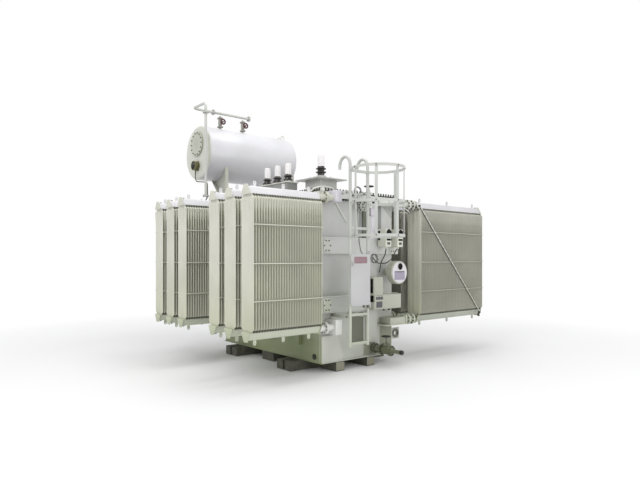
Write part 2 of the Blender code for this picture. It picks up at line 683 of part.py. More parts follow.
def make_drum_pipes():
    """Filling valves, air pipe and relay pipe of the conservator."""
    high = DRUM_TOP + AIR_PIPE_RISE
    drop_x = DRUM_END_X - AIR_PIPE_CLEAR
    drop_y = DRUM_Y - AIR_PIPE_FORWARD
    low = high - AIR_PIPE_DROP
    end_x = DRUM_END_X + AIR_END_SHARE * DRUM_LENGTH
    joint_x = DRUM_END_X + AIR_JOINT_SHARE * DRUM_LENGTH
    joint_top = high - AIR_JOINT_DROP
    route = [(end_x, DRUM_Y, high), (drop_x, DRUM_Y, high), (drop_x, drop_y, high), (drop_x, drop_y, low)]

    def flanges(bm):
        for x in (end_x, joint_x):
            add_rod(bm, (x - AIR_FLANGE_THICKNESS, DRUM_Y, high), (x, DRUM_Y, high), AIR_FLANGE_RADIUS)
        for z in (joint_top, low + AIR_FLANGE_THICKNESS):
            add_rod(bm, (drop_x, drop_y, z - AIR_FLANGE_THICKNESS), (drop_x, drop_y, z), AIR_FLANGE_RADIUS)
    air_pipe = tube("air_pipe", route, AIR_PIPE_RADIUS, "grey_enamel")
    combine(air_pipe, tool("air_pipe_flanges", flanges), "UNION")

    upper = FILLING_BOTTOM + FILLING_HEIGHT
    top = AIR_PIPE_RISE - AIR_PIPE_RADIUS - GAP
    profile = [(0, top), (FILLING_STUB_RADIUS, top), (FILLING_STUB_RADIUS, upper),
               (FILLING_FLANGE_RADIUS, upper), (FILLING_FLANGE_RADIUS, upper - FILLING_FLANGE),
               (FILLING_BODY_RADIUS, upper - FILLING_FLANGE),
               (FILLING_BODY_RADIUS, FILLING_BOTTOM + FILLING_FLANGE),
               (FILLING_FLANGE_RADIUS, FILLING_BOTTOM + FILLING_FLANGE),
               (FILLING_FLANGE_RADIUS, FILLING_BOTTOM), (FILLING_STUB_RADIUS, FILLING_BOTTOM),
               (FILLING_STUB_RADIUS, GAP), (0, GAP)]
    boss_height = DRUM_TOP + FILLING_BOTTOM + FILLING_HEIGHT / 2
    boss_end = DRUM_Y - FILLING_BOSS_REACH

    for number, share in enumerate(FILLING_SHARES, start=1):
        middle = DRUM_END_X + share * DRUM_LENGTH

        def boss(bm):
            add_rod(bm, (middle, DRUM_Y, boss_height), (middle, boss_end, boss_height), FILLING_BOSS_RADIUS)
        valve = turned(f"filling_valve_{number}", profile, "grey_enamel", (middle, DRUM_Y, DRUM_TOP),
                       steps=FEW_SIDES)
        combine(valve, tool(f"filling_boss_{number}", boss), "UNION")
        handwheel(f"filling_valve_wheel_{number}", (middle, boss_end - GAP - WHEEL_HUB, boss_height),
                  TOP_WHEEL_RADIUS, "wheel_maroon", tilt=math.pi / 2)

    relay_x = DRUM_END_X + RELAY_SHARE * DRUM_LENGTH
    foot_y = HALF_LENGTH - RELAY_FOOT_INSET
    bend = COVER_TOP + RELAY_RISE
    pipe = tube("relay_pipe", [(relay_x, foot_y, COVER_TOP + GAP), (relay_x, foot_y, bend),
                               (relay_x, DRUM_Y, bend + RELAY_SLOPE), (relay_x, DRUM_Y, DRUM_HEIGHT)],
                RELAY_PIPE_RADIUS, "grey_enamel")

    def relay(bm):
        middle = (foot_y + DRUM_Y) / 2
        up = bend + RELAY_SLOPE / 2
        add_box(bm, (relay_x - RELAY_WIDTH / 2, middle - RELAY_WIDTH / 2, up - RELAY_HEIGHT / 2),
                (relay_x + RELAY_WIDTH / 2, middle + RELAY_WIDTH / 2, up + RELAY_HEIGHT / 2))
    combine(pipe, tool("relay_case", relay), "UNION")
    trim_to_drum(pipe, "relay_pipe_trim")


def bushing(name, place, shed_radius, shed_height, cap_radius, cap_height, sheds=2):
    """Ribbed insulator with a domed cap over its terminal."""
    step = shed_height / sheds
    profile = [(0, shed_height + cap_height), (cap_radius * DOME_SHARE, shed_height + cap_height),
               (cap_radius, shed_height + cap_height * SHOULDER_SHARE), (cap_radius, shed_height)]
    for index in range(sheds):
        top = shed_height - index * step
        profile += [(shed_radius, top - step * SHED_EDGE_SHARE / 2), (shed_radius, top - step / 2),
                    (cap_radius, top - step)]
    profile[-1] = (shed_radius, GAP)
    profile.append((0, GAP))
    turned(name, profile, "porcelain_black", place, steps=BUSHING_SIDES)


def make_bushings():
    """Two turrets on the cover with their bushings."""
    base = COVER_TOP + GAP
    plate_top = COVER_TOP + TURRET_HEIGHT

    def turret(name, x, y, half_x, half_y, plate_half_x, plate_half_y):
        def body(bm):
            add_box(bm, (x - half_x, y - half_y, base),
                    (x + half_x, y + half_y, plate_top - TURRET_PLATE / 2))

        def lid(bm):
            add_box(bm, (x - plate_half_x, y - plate_half_y, plate_top - TURRET_PLATE),
                    (x + plate_half_x, y + plate_half_y, plate_top))
        made = piece(name, body, "grey_enamel")
        combine(made, tool(name + "_lid", lid), "UNION")

    large_x = -HALF_WIDTH + LARGE_BUSHING_INSET
    large_y = -HALF_LENGTH + LARGE_BUSHING_SETBACK
    half = LARGE_TURRET_WIDTH / 2
    plate_half = LARGE_TURRET_PLATE_WIDTH / 2
    turret("large_bushing_turret", large_x, large_y, half, half, plate_half, plate_half)
    bushing("large_bushing", (large_x, large_y, plate_top), LARGE_SHED_RADIUS,
            LARGE_SHED_HEIGHT, LARGE_CAP_RADIUS, LARGE_CAP_HEIGHT)

    row_x = -HALF_WIDTH + SMALL_BUSHING_INSET
    first_y = SMALL_BUSHING_SHARE * TANK_LENGTH
    row_length = (SMALL_BUSHINGS - 1) * SMALL_BUSHING_SPACING
    row_half = row_length / 2 + SMALL_TURRET_MARGIN
    turret("small_bushing_turret", row_x, first_y + row_length / 2, SMALL_TURRET_WIDTH / 2,
           row_half - PLATE, SMALL_TURRET_WIDTH / 2 + PLATE, row_half)
    for index in range(SMALL_BUSHINGS):
        bushing(f"small_bushing_{index + 1}", (row_x, first_y + index * SMALL_BUSHING_SPACING, plate_top),
                SMALL_SHED_RADIUS, SMALL_SHED_HEIGHT, SMALL_CAP_RADIUS, SMALL_CAP_HEIGHT)


def tube(name, points, radius, material, group=None):
    """Round bar or pipe through a list of points."""
    curve = bpy.data.curves.new(name, "CURVE")
    curve.dimensions = "3D"
    curve.bevel_depth = radius
    curve.bevel_resolution = RAIL_SIDES // 2 - 2
    curve.use_fill_caps = True
    spline = curve.splines.new("POLY")
    spline.points.add(len(points) - 1)
    for point, place in zip(spline.points, points):
        point.co = (*place, 1.0)
    made = bpy.data.objects.new(name, curve)
    PARTS.objects.link(made)
    bpy.context.view_layer.update()
    mesh = bpy.data.meshes.new_from_object(made.evaluated_get(bpy.context.evaluated_depsgraph_get()))
    bm = bmesh.new()
    bm.from_mesh(mesh)
    bmesh.ops.remove_doubles(bm, verts=bm.verts[:], dist=GAP / 10)
    bmesh.ops.recalc_face_normals(bm, faces=bm.faces[:])
    bm.to_mesh(mesh)
    bm.free()
    mesh.materials.clear()
    mesh.materials.append(finish(material))
    solid = bpy.data.objects.new(name, mesh)
    PARTS.objects.unlink(made)
    bpy.data.objects.remove(made)
    (group or PARTS).objects.link(solid)
    solid.name = name
    if group is CUTTERS:
        solid.hide_render = True
        solid.display_type = "WIRE"
    return solid


def make_ladder():
    """Fixed ladder with hooked handrails and standoffs."""
    def rail_points(x):
        hook = [(x, LADDER_Y + across * HOOK_REACH, LADDER_TOP + up * HOOK_RISE)
                for across, up in HOOK_SHARES]
        return [(x, LADDER_Y, LADDER_BOTTOM), (x, LADDER_Y, LADDER_TOP - HOOK_RISE)] + hook
    ladder = tube("ladder", rail_points(LADDER_LEFT), RAIL_RADIUS, "grey_enamel")
    combine(ladder, tube("ladder_right_rail", rail_points(LADDER_RIGHT), RAIL_RADIUS, "grey_enamel", CUTTERS),
            "UNION")

    def rungs(bm):
        height = LADDER_BOTTOM + FIRST_RUNG_RISE
        while height < LADDER_TOP:
            add_rod(bm, (LADDER_LEFT, LADDER_Y, height), (LADDER_RIGHT, LADDER_Y, height), RUNG_RADIUS,
                    sides=RUNG_SIDES)
            height += RUNG_PITCH

    def standoffs(bm):
        for height, depth in ((LOWER_BAND_BOTTOM - LOW_STANDOFF_DROP, 0),
                              (UPPER_BAND_BOTTOM + BAND_HEIGHT / 2, BAND_DEPTH),
                              ((COVER_BOTTOM + COVER_TOP) / 2, RIM_OVERHANG)):
            wall = -HALF_LENGTH - depth - GAP
            for x in (LADDER_LEFT, LADDER_RIGHT):
                add_rod(bm, (x, LADDER_Y, height), (x, wall, height), STANDOFF_RADIUS)

    def hinge_tabs(bm):
        reach = GUARD_BARREL / 2 + GAP
        for low in (GUARD_BOTTOM - reach - GUARD_THICKNESS, GUARD_BOTTOM + GUARD_HEIGHT + reach):
            add_box(bm, (LADDER_RIGHT, HINGE_Y - GUARD_HINGE_RADIUS, low),
                    (HINGE_X + GUARD_HINGE_RADIUS, LADDER_Y, low + GUARD_THICKNESS))
    for name, build in (("ladder_rungs", rungs), ("ladder_standoffs", standoffs),
                        ("ladder_hinge_tabs", hinge_tabs)):
        combine(ladder, tool(name, build), "UNION")


def make_cage():
    """Hoops and upright bars that guard the upper part of the ladder."""
    centre_y = LADDER_Y - CAGE_OFFSET
    front_of_rail = LADDER_Y - RAIL_RADIUS - GAP
    sweep = math.pi - math.asin(LADDER_WIDTH / 2 / CAGE_RADIUS)
    plan = [(LADDER_LEFT, front_of_rail)]
    for index in range(CAGE_SEGMENTS + 1):
        angle = sweep * (2 * index / CAGE_SEGMENTS - 1)
        plan.append((LADDER_MIDDLE + CAGE_RADIUS * math.sin(angle), centre_y - CAGE_RADIUS * math.cos(angle)))
    plan.append((LADDER_RIGHT, front_of_rail))
    span = (CAGE_HOOPS - 1) * CAGE_HOOP_PITCH

    def strips(bm):
        for index in range(CAGE_HOOPS):
            bottom = CAGE_TOP - index * CAGE_HOOP_PITCH - CAGE_HOOP_HEIGHT / 2
            verts = [bm.verts.new((x, y, bottom)) for x, y in plan]
            edges = [bm.edges.new(pair) for pair in zip(verts, verts[1:])]
            grown = bmesh.ops.extrude_edge_only(bm, edges=edges)["geom"]
            moved = [item for item in grown if isinstance(item, bmesh.types.BMVert)]
            bmesh.ops.translate(bm, vec=(0, 0, CAGE_HOOP_HEIGHT), verts=moved)

    def bars(bm):
        radius = CAGE_RADIUS - CAGE_BAR_THICKNESS
        for degrees in CAGE_BAR_ANGLES:
            angle = math.radians(degrees)
            verts = bmesh.ops.create_cube(bm, size=1)["verts"]
            bmesh.ops.scale(bm, vec=(CAGE_BAR, CAGE_BAR_THICKNESS * 2, span + CAGE_HOOP_HEIGHT / 2),
                            verts=verts)
            spot = Vector((LADDER_MIDDLE + radius * math.sin(angle), centre_y - radius * math.cos(angle),
                           CAGE_TOP - span / 2))
            bmesh.ops.transform(bm, matrix=Matrix.Translation(spot) @ Matrix.Rotation(angle, 4, "Z"),
                                verts=verts)
    cage = piece("ladder_cage", strips, "grey_enamel")
    thicken = cage.modifiers.new("thickness", "SOLIDIFY")
    thicken.thickness = CAGE_BAR_THICKNESS
    thicken.offset = 0
    thicken.use_even_offset = True
    combine(cage, tool("cage_bars", bars), "UNION")


def make_guard():
    """Hinged plate that keeps people off the ladder."""
    def plate(bm):
        add_box(bm, (-GUARD_WIDTH, -GUARD_THICKNESS / 2, 0), (0, GUARD_THICKNESS / 2, GUARD_HEIGHT))

    def barrels(bm):
        for height in (0, GUARD_HEIGHT):
            add_rod(bm, (0, 0, height - GUARD_BARREL / 2), (0, 0, height + GUARD_BARREL / 2),
                    GUARD_HINGE_RADIUS)
    guard = piece("ladder_guard", plate, "grey_enamel", (HINGE_X, HINGE_Y, GUARD_BOTTOM))
    knuckles = tool("guard_barrels", barrels)
    knuckles.location = guard.location
    combine(guard, knuckles, "UNION")


def make_instruments():
    """Temperature indicators, round monitor and terminal box on the front wall."""
    band_face = -HALF_LENGTH - BAND_DEPTH - GAP
    band_middle = UPPER_BAND_BOTTOM + BAND_HEIGHT / 2
    for number in range(INDICATORS, 0, -1):
        x = HALF_WIDTH - INDICATOR_INSET - (INDICATORS - number) * INDICATOR_SPACING

        def case(bm):
            add_box(bm, (x - INDICATOR_WIDTH / 2, INDICATOR_FRONT, INDICATOR_BOTTOM),
                    (x + INDICATOR_WIDTH / 2, INDICATOR_FRONT + INDICATOR_DEPTH,
                     INDICATOR_BOTTOM + INDICATOR_HEIGHT))

        def bracket(bm):
            add_box(bm, (x - PLATE, INDICATOR_FRONT + INDICATOR_DEPTH / 2, band_middle + PLATE),
                    (x + PLATE, band_face, band_middle + BAND_HEIGHT / 3))
        made = piece(f"temperature_indicator_{number}", case, "grey_enamel")
        combine(made, tool(f"indicator_bracket_{number}", bracket), "UNION")

    monitor_x = HALF_WIDTH - MONITOR_INSET

    def drum(bm):
        add_rod(bm, (monitor_x, MONITOR_FRONT, MONITOR_HEIGHT),
                (monitor_x, MONITOR_FRONT + MONITOR_DEPTH, MONITOR_HEIGHT), MONITOR_RADIUS, sides=SIDES)

    def stem(bm):
        add_rod(bm, (monitor_x, MONITOR_FRONT + MONITOR_DEPTH / 2, MONITOR_HEIGHT),
                (monitor_x, -HALF_LENGTH - GAP, MONITOR_HEIGHT), MONITOR_STEM)
    monitor = piece("oil_monitor", drum, "grey_enamel")
    combine(monitor, tool("monitor_stem", stem), "UNION")

    box_left = HALF_WIDTH - BOX_INSET - BOX_WIDTH
    front = band_face - BOX_DEPTH

    def low_box(bm):
        add_box(bm, (box_left, front, BOX_BOTTOM), (box_left + BOX_WIDTH, band_face, BOX_STEP))

    def tall_box(bm):
        add_box(bm, (box_left, front, BOX_STEP - BITE), (box_left + BOX_TALL_WIDTH, band_face, BOX_TOP))
    box = piece("terminal_box", low_box, "grey_enamel")
    combine(box, tool("terminal_box_upper", tall_box), "UNION")


def make_valves():
    """Drain valve low on the front wall and the valve beside the ladder."""
    wall = -HALF_LENGTH - GAP
    drain_x = HALF_WIDTH - DRAIN_INSET
    stem_y = wall - DRAIN_REACH * DRAIN_STEM_SHARE
    drain_wheel = DRAIN_HEIGHT + DRAIN_WHEEL_RISE

    def drain_pipe(bm):
        add_rod(bm, (drain_x, wall, DRAIN_HEIGHT), (drain_x, wall - DRAIN_REACH, DRAIN_HEIGHT), PIPE_RADIUS)

    def drain_flanges(bm):
        for share in DRAIN_FLANGE_SHARES:
            start = wall - DRAIN_REACH * share
            add_rod(bm, (drain_x, start, DRAIN_HEIGHT), (drain_x, start - FLANGE_THICKNESS, DRAIN_HEIGHT),
                    DRAIN_BODY_RADIUS)

    def drain_bonnet(bm):
        add_rod(bm, (drain_x, stem_y, DRAIN_HEIGHT), (drain_x, stem_y, drain_wheel - WHEEL_HUB - GAP),
                STEM_RADIUS)
    valve = piece("drain_valve", drain_pipe, "grey_enamel")
    combine(valve, tool("drain_flanges", drain_flanges), "UNION")
    combine(valve, tool("drain_bonnet", drain_bonnet), "UNION")
    handwheel("drain_valve_wheel", (drain_x, stem_y, drain_wheel), WHEEL_RADIUS, "wheel_black")

    top_x = HALF_WIDTH - TOP_VALVE_INSET
    top_wheel = TOP_VALVE_HEIGHT + TOP_WHEEL_RISE

    def arm(bm):
        add_rod(bm, (top_x, wall, TOP_VALVE_HEIGHT), (top_x, TOP_VALVE_Y - PIPE_RADIUS, TOP_VALVE_HEIGHT),
                PIPE_RADIUS)

    def bonnet(bm):
        add_rod(bm, (top_x, TOP_VALVE_Y, TOP_VALVE_HEIGHT),
                (top_x, TOP_VALVE_Y, top_wheel - WHEEL_HUB - GAP), STEM_RADIUS)
    valve = piece("upper_valve", arm, "grey_enamel")
    combine(valve, tool("upper_valve_bonnet", bonnet), "UNION")
    handwheel("upper_valve_wheel", (top_x, TOP_VALVE_Y, top_wheel), WHEEL_RADIUS, "wheel_black")


clear_scene()
PARTS = collection("power_transformer")
CUTTERS = collection("cutters")

make_skid_frame()
make_tank()
make_cover()
make_radiators()
make_ducts()
make_conservator()
make_saddles()
make_drum_pipes()
make_bushings()
make_ladder()
make_cage()
make_guard()
make_instruments()
make_valves()
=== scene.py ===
"""Looks of the power transformer: finishes, fins, bolts, fittings, light and camera.

Metres, +Z up, in the frame of the CAD. The ladder side faces -Y, the camera stands at -X, -Y.
"""

import math
from collections import namedtuple

import bmesh
import bpy
from mathutils import Matrix, Vector


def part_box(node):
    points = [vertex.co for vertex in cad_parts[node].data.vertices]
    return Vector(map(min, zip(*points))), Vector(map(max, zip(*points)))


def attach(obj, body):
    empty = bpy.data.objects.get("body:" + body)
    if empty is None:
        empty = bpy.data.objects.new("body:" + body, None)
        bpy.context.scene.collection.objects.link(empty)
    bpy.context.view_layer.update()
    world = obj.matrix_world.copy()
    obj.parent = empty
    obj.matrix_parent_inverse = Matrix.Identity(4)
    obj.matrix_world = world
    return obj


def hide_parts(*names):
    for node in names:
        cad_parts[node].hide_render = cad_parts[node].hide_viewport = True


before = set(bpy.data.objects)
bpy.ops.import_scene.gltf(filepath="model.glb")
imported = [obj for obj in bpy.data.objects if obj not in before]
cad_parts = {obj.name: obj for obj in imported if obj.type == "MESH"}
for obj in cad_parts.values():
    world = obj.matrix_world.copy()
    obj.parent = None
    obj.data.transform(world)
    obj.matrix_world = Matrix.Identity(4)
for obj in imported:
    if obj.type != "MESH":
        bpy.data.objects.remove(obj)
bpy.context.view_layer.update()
FIXED = "transformer"

# Sizes that the CAD also has
WALL_X = 0.83            # from the middle of the tank to its long walls
WALL_Y = 1.485           # and to its end walls
FRONT_WALL = -WALL_Y     # the wall that carries the ladder
RIM_X = WALL_X + 0.09
RIM_Y = WALL_Y + 0.09
RIM_BOTTOM = 2.82
COVER_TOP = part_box("tank_cover")[1][2]
PITCH = 0.045            # between the panels of a radiator
PANEL_WIDTH = 0.33
PANEL_TOP = 2.75
PANEL_BOTTOM = 0.81
HEADER_HEIGHT = 0.11
PIPE_HIGH = PANEL_TOP + HEADER_HEIGHT / 2
PIPE_LOW = PANEL_BOTTOM - HEADER_HEIGHT / 2
LEFT_REACH = 0.225       # from the wall to the first panel
RIGHT_REACH = 0.43
LEFT_COUNT = 28
RIGHT_COUNT = 43
FRONT_LINE = FRONT_WALL - 0.17
DUCT_FACE = FRONT_WALL - 0.265
BAND_DEPTH = 0.085
BAND_HALF = 0.13         # half of a box band's height
LOWER_BAND = 1.10        # middles of the box bands
UPPER_BAND = 2.05
LADDER_LEFT = -0.565
LADDER_RIGHT = -0.183
LADDER_Y = FRONT_WALL - 0.425
HINGE_X = LADDER_RIGHT + 0.01
HINGE_Y = LADDER_Y - 0.046

# Waves of a pattern in a metre
CLOUD_WAVES = 1.7        # drift of tone in a sprayed coat, about 600 mm across
STREAK_WAVES = 26.0      # rain streaks, about 40 mm wide
STREAK_RUN = 0.9         # and a metre long
PEEL_WAVES = 90.0        # orange peel, drawn 11 mm wide, coarser than real, so that it shows


# Materials

def linear(code):
    """Turn an sRGB hex colour into linear values."""
    values = []
    for index in (0, 2, 4):
        share = int(code[index:index + 2], 16) / 255
        values.append(share / 12.92 if share <= 0.04045 else ((share + 0.055) / 1.055) ** 2.4)
    return (*values, 1.0)


def add(tree, kind, settings=None, links=None):
    """Add a shader node, set sockets or attributes, and link its inputs."""
    made = tree.nodes.new(kind)
    for key, value in (settings or {}).items():
        if isinstance(key, int) or key in made.inputs:
            made.inputs[key].default_value = value
        else:
            setattr(made, key, value)
    for key, source in (links or {}).items():
        tree.links.new(source, made.inputs[key])
    return made


def blank(name):
    """Return a new material with its tree and its Principled shader."""
    made = bpy.data.materials.new(name)
    made.use_nodes = True
    return made, made.node_tree, made.node_tree.nodes["Principled BSDF"]


def noise(tree, place, waves, detail):
    """Noise with so many waves in a metre, as a value."""
    made = add(tree, "ShaderNodeTexNoise", {"Scale": waves, "Detail": detail}, {"Vector": place})
    return made.outputs["Fac"]


def spread(tree, source, low, high, start=0.0, end=1.0):
    """Map a value from one range to another and hold it at their ends."""
    limits = {"From Min": low, "From Max": high, "To Min": start, "To Max": end}
    return add(tree, "ShaderNodeMapRange", limits, {"Value": source}).outputs[0]


def combined(tree, operation, first, second):
    """Multiply two values, or take the larger one."""
    return add(tree, "ShaderNodeMath", {"operation": operation}, {0: first, 1: second}).outputs[0]


def layer(tree, tone, colour, source, low, high, most=1.0, blend="MIX"):
    """Lay a linear colour over a tone, more of it as a value goes from low to high."""
    share = spread(tree, source, low, high, end=most)
    laid = add(tree, "ShaderNodeMix", {"data_type": "RGBA", "blend_type": blend, 7: colour}, {0: share})
    if isinstance(tone, tuple):
        laid.inputs[6].default_value = tone
    else:
        tree.links.new(tone, laid.inputs[6])
    return laid.outputs[2]


def enamel(name, colour, foot_bounce_tint=None, roughness=0.42, dust=0.5, wear=0.3, coat=0.15, under=None,
           side_bounce_tint=None):
    """Satin enamel: mottled coat, rain streaks, settled dust on upward faces and a fine orange peel.

    The tints paint green bounce light and shade on the foot of the object and on the foot of the left wall,
    and the underside colour paints shade on what faces down.
    """
    made, tree, shader = blank(name)
    place = add(tree, "ShaderNodeTexCoord").outputs["Object"]
    along = add(tree, "ShaderNodeSeparateXYZ", links={"Vector": place}).outputs
    facing = add(tree, "ShaderNodeNewGeometry").outputs
    upward = add(tree, "ShaderNodeSeparateXYZ", links={"Vector": facing["Normal"]}).outputs["Z"]
    cloud = noise(tree, place, CLOUD_WAVES, 4.0)
    squeezed = add(tree, "ShaderNodeMapping", {"Scale": (STREAK_WAVES, STREAK_WAVES, STREAK_RUN)},
                   {"Vector": place}).outputs[0]
    streak = noise(tree, squeezed, 1.0, 3.0)
    peel = noise(tree, place, PEEL_WAVES, 2.0)

    fresh = linear(colour)
    faded = (*(value * 0.90 for value in fresh[:3]), 1.0)
    tone = layer(tree, fresh, faded, cloud, 0.35, 0.65)
    tone = layer(tree, tone, linear("8f9083"), streak, 0.52, 0.72, most=0.10 * dust)
    # Painted green bounce light and shade, growing from 1.9 m down to the foot
    if foot_bounce_tint:
        tone = layer(tree, tone, linear(foot_bounce_tint), along["Z"], 1.9, 0.2, blend="MULTIPLY")
    # Painted green bounce light low on the long wall at -X
    if side_bounce_tint:
        low = spread(tree, along["Z"], 0.95, 0.5)
        left = spread(tree, along["X"], 0.02 - WALL_X, 0.001 - WALL_X)
        both = combined(tree, "MULTIPLY", low, left)
        tone = layer(tree, tone, linear(side_bounce_tint), both, 0.0, 1.0, blend="MULTIPLY")
    tone = layer(tree, tone, linear("b9b7a8"), upward, 0.6, 1.0, most=0.22 * dust)
    # Painted shade on faces that point down
    if under:
        tone = layer(tree, tone, linear(under), upward, -0.15, -0.95, most=0.85)
    tone = layer(tree, tone, linear("f2f2ea"), facing["Pointiness"], 0.56, 0.70, most=wear)
    tree.links.new(tone, shader.inputs["Base Color"])
    rough = spread(tree, cloud, 0.3, 0.7, roughness - 0.06, roughness + 0.08)
    tree.links.new(rough, shader.inputs["Roughness"])
    shader.inputs["Coat Weight"].default_value = coat
    shader.inputs["Coat Roughness"].default_value = 0.25
    bump = add(tree, "ShaderNodeBump", {"Strength": 0.25, "Distance": 0.0004}, {"Height": peel})
    tree.links.new(bump.outputs[0], shader.inputs["Normal"])
    return made


def grained(name, colour, second, roughness, metallic=0.0, waves=30.0, bump=0.0003, coat=0.0):
    """Finish with a noise between two tones that also moves its roughness."""
    made, tree, shader = blank(name)
    place = add(tree, "ShaderNodeTexCoord").outputs["Object"]
    grain = noise(tree, place, waves, 5.0)
    tone = layer(tree, linear(colour), linear(second), grain, 0.35, 0.7)
    tree.links.new(tone, shader.inputs["Base Color"])
    rough = spread(tree, grain, 0.35, 0.7, roughness - 0.07, roughness + 0.1)
    tree.links.new(rough, shader.inputs["Roughness"])
    shader.inputs["Metallic"].default_value = metallic
    shader.inputs["Coat Weight"].default_value = coat
    lift = add(tree, "ShaderNodeBump", {"Strength": 0.5, "Distance": bump}, {"Height": grain})
    tree.links.new(lift.outputs[0], shader.inputs["Normal"])
    return made


# Sprayed enamel of the radiators, warm grey and dusty, with painted green bounce light towards the ground
PANEL_PAINT = enamel("radiator_enamel", "cdcdc0", foot_bounce_tint="e6ead2", roughness=0.5, dust=0.6)
# The right bank's copy, darker as painted shade
RIGHT_PANEL_SHADE_PAINT = enamel("right_bank_shade_enamel", "adada3", foot_bounce_tint="e6ead2", roughness=0.5, dust=0.6)
# A copy of the coat for the faces between the panels, its tone set to paint the light in those shaded slots,
# darker on the right bank; it is dull and without worn edges
SLOT_LIGHT_PAINT = enamel("shaded_radiator_enamel", "d2d3c2", roughness=0.65, dust=0.4, wear=0.0, coat=0.0)
RIGHT_SLOT_LIGHT_PAINT = enamel("right_bank_shaded_enamel", "bcbbaf", roughness=0.65, dust=0.4, wear=0.0, coat=0.0)
# Headers, almost white, with painted green bounce light below; the right bank's copy is darker as painted
# shade
HEADER_PAINT = enamel("header_enamel", "dedde0", foot_bounce_tint="d2dcb2", roughness=0.4, dust=0.2)
RIGHT_HEADER_SHADE_PAINT = enamel("right_header_shade_enamel", "cfced1", foot_bounce_tint="bcc6a2", roughness=0.42, dust=0.3)
# Olive of the header ends, painted shade below the lit headers
HEADER_END_SHADE_PAINT = enamel("header_end_shade_enamel", "cccdbf", foot_bounce_tint="d4ddbc", roughness=0.45, dust=0.5)

# Even light grey of the tank's plates, with painted green bounce light at its foot, stronger at the foot of
# its long wall
TANK_PAINT = enamel("tank_enamel", "cccdca", foot_bounce_tint="e0e2d8", roughness=0.42, side_bounce_tint="c8d4a6")
# Painted shade: dull olive for recesses and for plates set where shadow falls on the wall, and a darker olive
# for the deepest shade
SHADED_WALL = enamel("shaded_wall_enamel", "8a8c7b", roughness=0.6, dust=0.5, wear=0.0, coat=0.0)
DEEP_SHADE_OLIVE = enamel("deep_shade_olive_enamel", "6d6f62", roughness=0.6, dust=0.5, wear=0.0, coat=0.0)
# Pale coats of flanges, pipes and boxes, each a shade apart; the fittings' coat has painted green bounce
# light towards the ground, and the lavender coat is a painted highlight on parts that face the light
FITTING_PAINT = enamel("fitting_enamel", "d0d2ca", foot_bounce_tint="dee4cc", roughness=0.4, dust=0.4)
LAVENDER_HIGHLIGHT_PAINT = enamel("lavender_highlight_enamel", "dad6de", roughness=0.42, dust=0.2)
LOW_DUCT_PAINT = enamel("low_duct_enamel", "d9dad5", roughness=0.4, dust=0.3)
PIPE_PAINT = enamel("drum_pipe_enamel", "c2c4be", roughness=0.4, dust=0.4)

# Glossier coat of the drum, near white on top, with painted shade on the faces that point down
DRUM_PAINT = enamel("conservator_enamel", "d5d5d9", roughness=0.33, dust=0.3, coat=0.3, under="bcbbc0")
# Darker coat of the drum's flat end, as painted shade
DRUM_END_SHADE_PAINT = enamel("conservator_end_shade_enamel", "cccdc2", roughness=0.4, dust=0.5)
DISC_PAINT = enamel("end_disc_enamel", "abad9e", roughness=0.45, dust=0.5)
# Darker coat of the saddles, painted shade under the drum
SADDLE_SHADE_PAINT = enamel("saddle_shade_enamel", "b2b4a8", roughness=0.5, dust=0.6)
DRUM_VALVE_PAINT = enamel("drum_valve_enamel", "a09f97", roughness=0.5, dust=0.6)

# Neutral greys of the turrets under the bushings
TURRET_PAINT = enamel("turret_enamel", "b4b5b2", roughness=0.4, dust=0.3)
# The darker grey also stands on strips of the ladder wall as painted shade
LOW_TURRET_AND_WALL_SHADE_PAINT = enamel("low_turret_and_wall_shade_enamel", "8c8e8c", roughness=0.45, dust=0.3)

# Smooth coat of the instruments' cases, warmer than the tank
CASE_PAINT = enamel("instrument_case_enamel", "afb1a3", roughness=0.38, dust=0.2)
INDICATOR_PAINT = enamel("indicator_case_enamel", "d9dacd", roughness=0.38, dust=0.2)
# Clean light grey of what people touch; the ladder's coat has painted green bounce light towards the ground
LADDER_PAINT = enamel("ladder_enamel", "c0c2bd", foot_bounce_tint="e2e8d2", roughness=0.42, dust=0.3)
GUARD_PAINT = enamel("guard_enamel", "bdbdbe", roughness=0.4, dust=0.3)
# Oily, grimy olive of the drain valve's casting and of the runners' ends
VALVE_PAINT = enamel("valve_enamel", "696c53", roughness=0.5, dust=0.8, wear=0.5)
RUNNER_PAINT = enamel("runner_enamel", "84816c", roughness=0.6, dust=1.0)

# Matt dark paint of the skid beams, dusty on its 70 mm blotches
BEAM_PAINT = grained("beam_paint_matt", "4c4d43", "646358", 0.7, waves=14.0, bump=0.0008)
# Dark zinc of bolts and nuts, with an 8 mm mottle
BOLT_STEEL = grained("bolt_steel", "4c4b42", "716f63", 0.5, metallic=0.4, waves=120.0)
DARK_STEEL = grained("dark_steel", "34342e", "55544a", 0.55, metallic=0.3, waves=90.0)
# Brushed nickel of the instruments' rims and the guard's catch
RIM_METAL = grained("instrument_rim_metal", "bdbdb8", "a2a29c", 0.35, metallic=0.6, waves=60.0)
# Tarnished brass of the oil gauge, olive with brighter patches
BRASS = grained("aged_gauge_brass", "6c6a48", "85825c", 0.42, metallic=0.4, waves=40.0)
# Glazed dark porcelain of the sheds, with a wet shine
PORCELAIN = grained("dark_porcelain", "15110f", "221c18", 0.2, waves=18.0, bump=0.0001, coat=0.6)
# Pale cap over each terminal
CAP_WHITE = grained("pale_cap", "f1eeee", "e6e3e4", 0.4, waves=12.0, bump=0.0001)
# Hard gloss of the cast iron wheels
MAROON = grained("maroon_wheel_paint", "400d1a", "501623", 0.4, waves=60.0)
BLACK = grained("black_wheel_paint", "141412", "262622", 0.45, waves=60.0)
# Dark dials behind glass that gives back little light
DIAL = grained("dark_dial_glass", "0d0d0d", "191917", 0.45, waves=9.0, bump=0.00002)
DIAL.node_tree.nodes["Principled BSDF"].inputs["Specular IOR Level"].default_value = 0.1
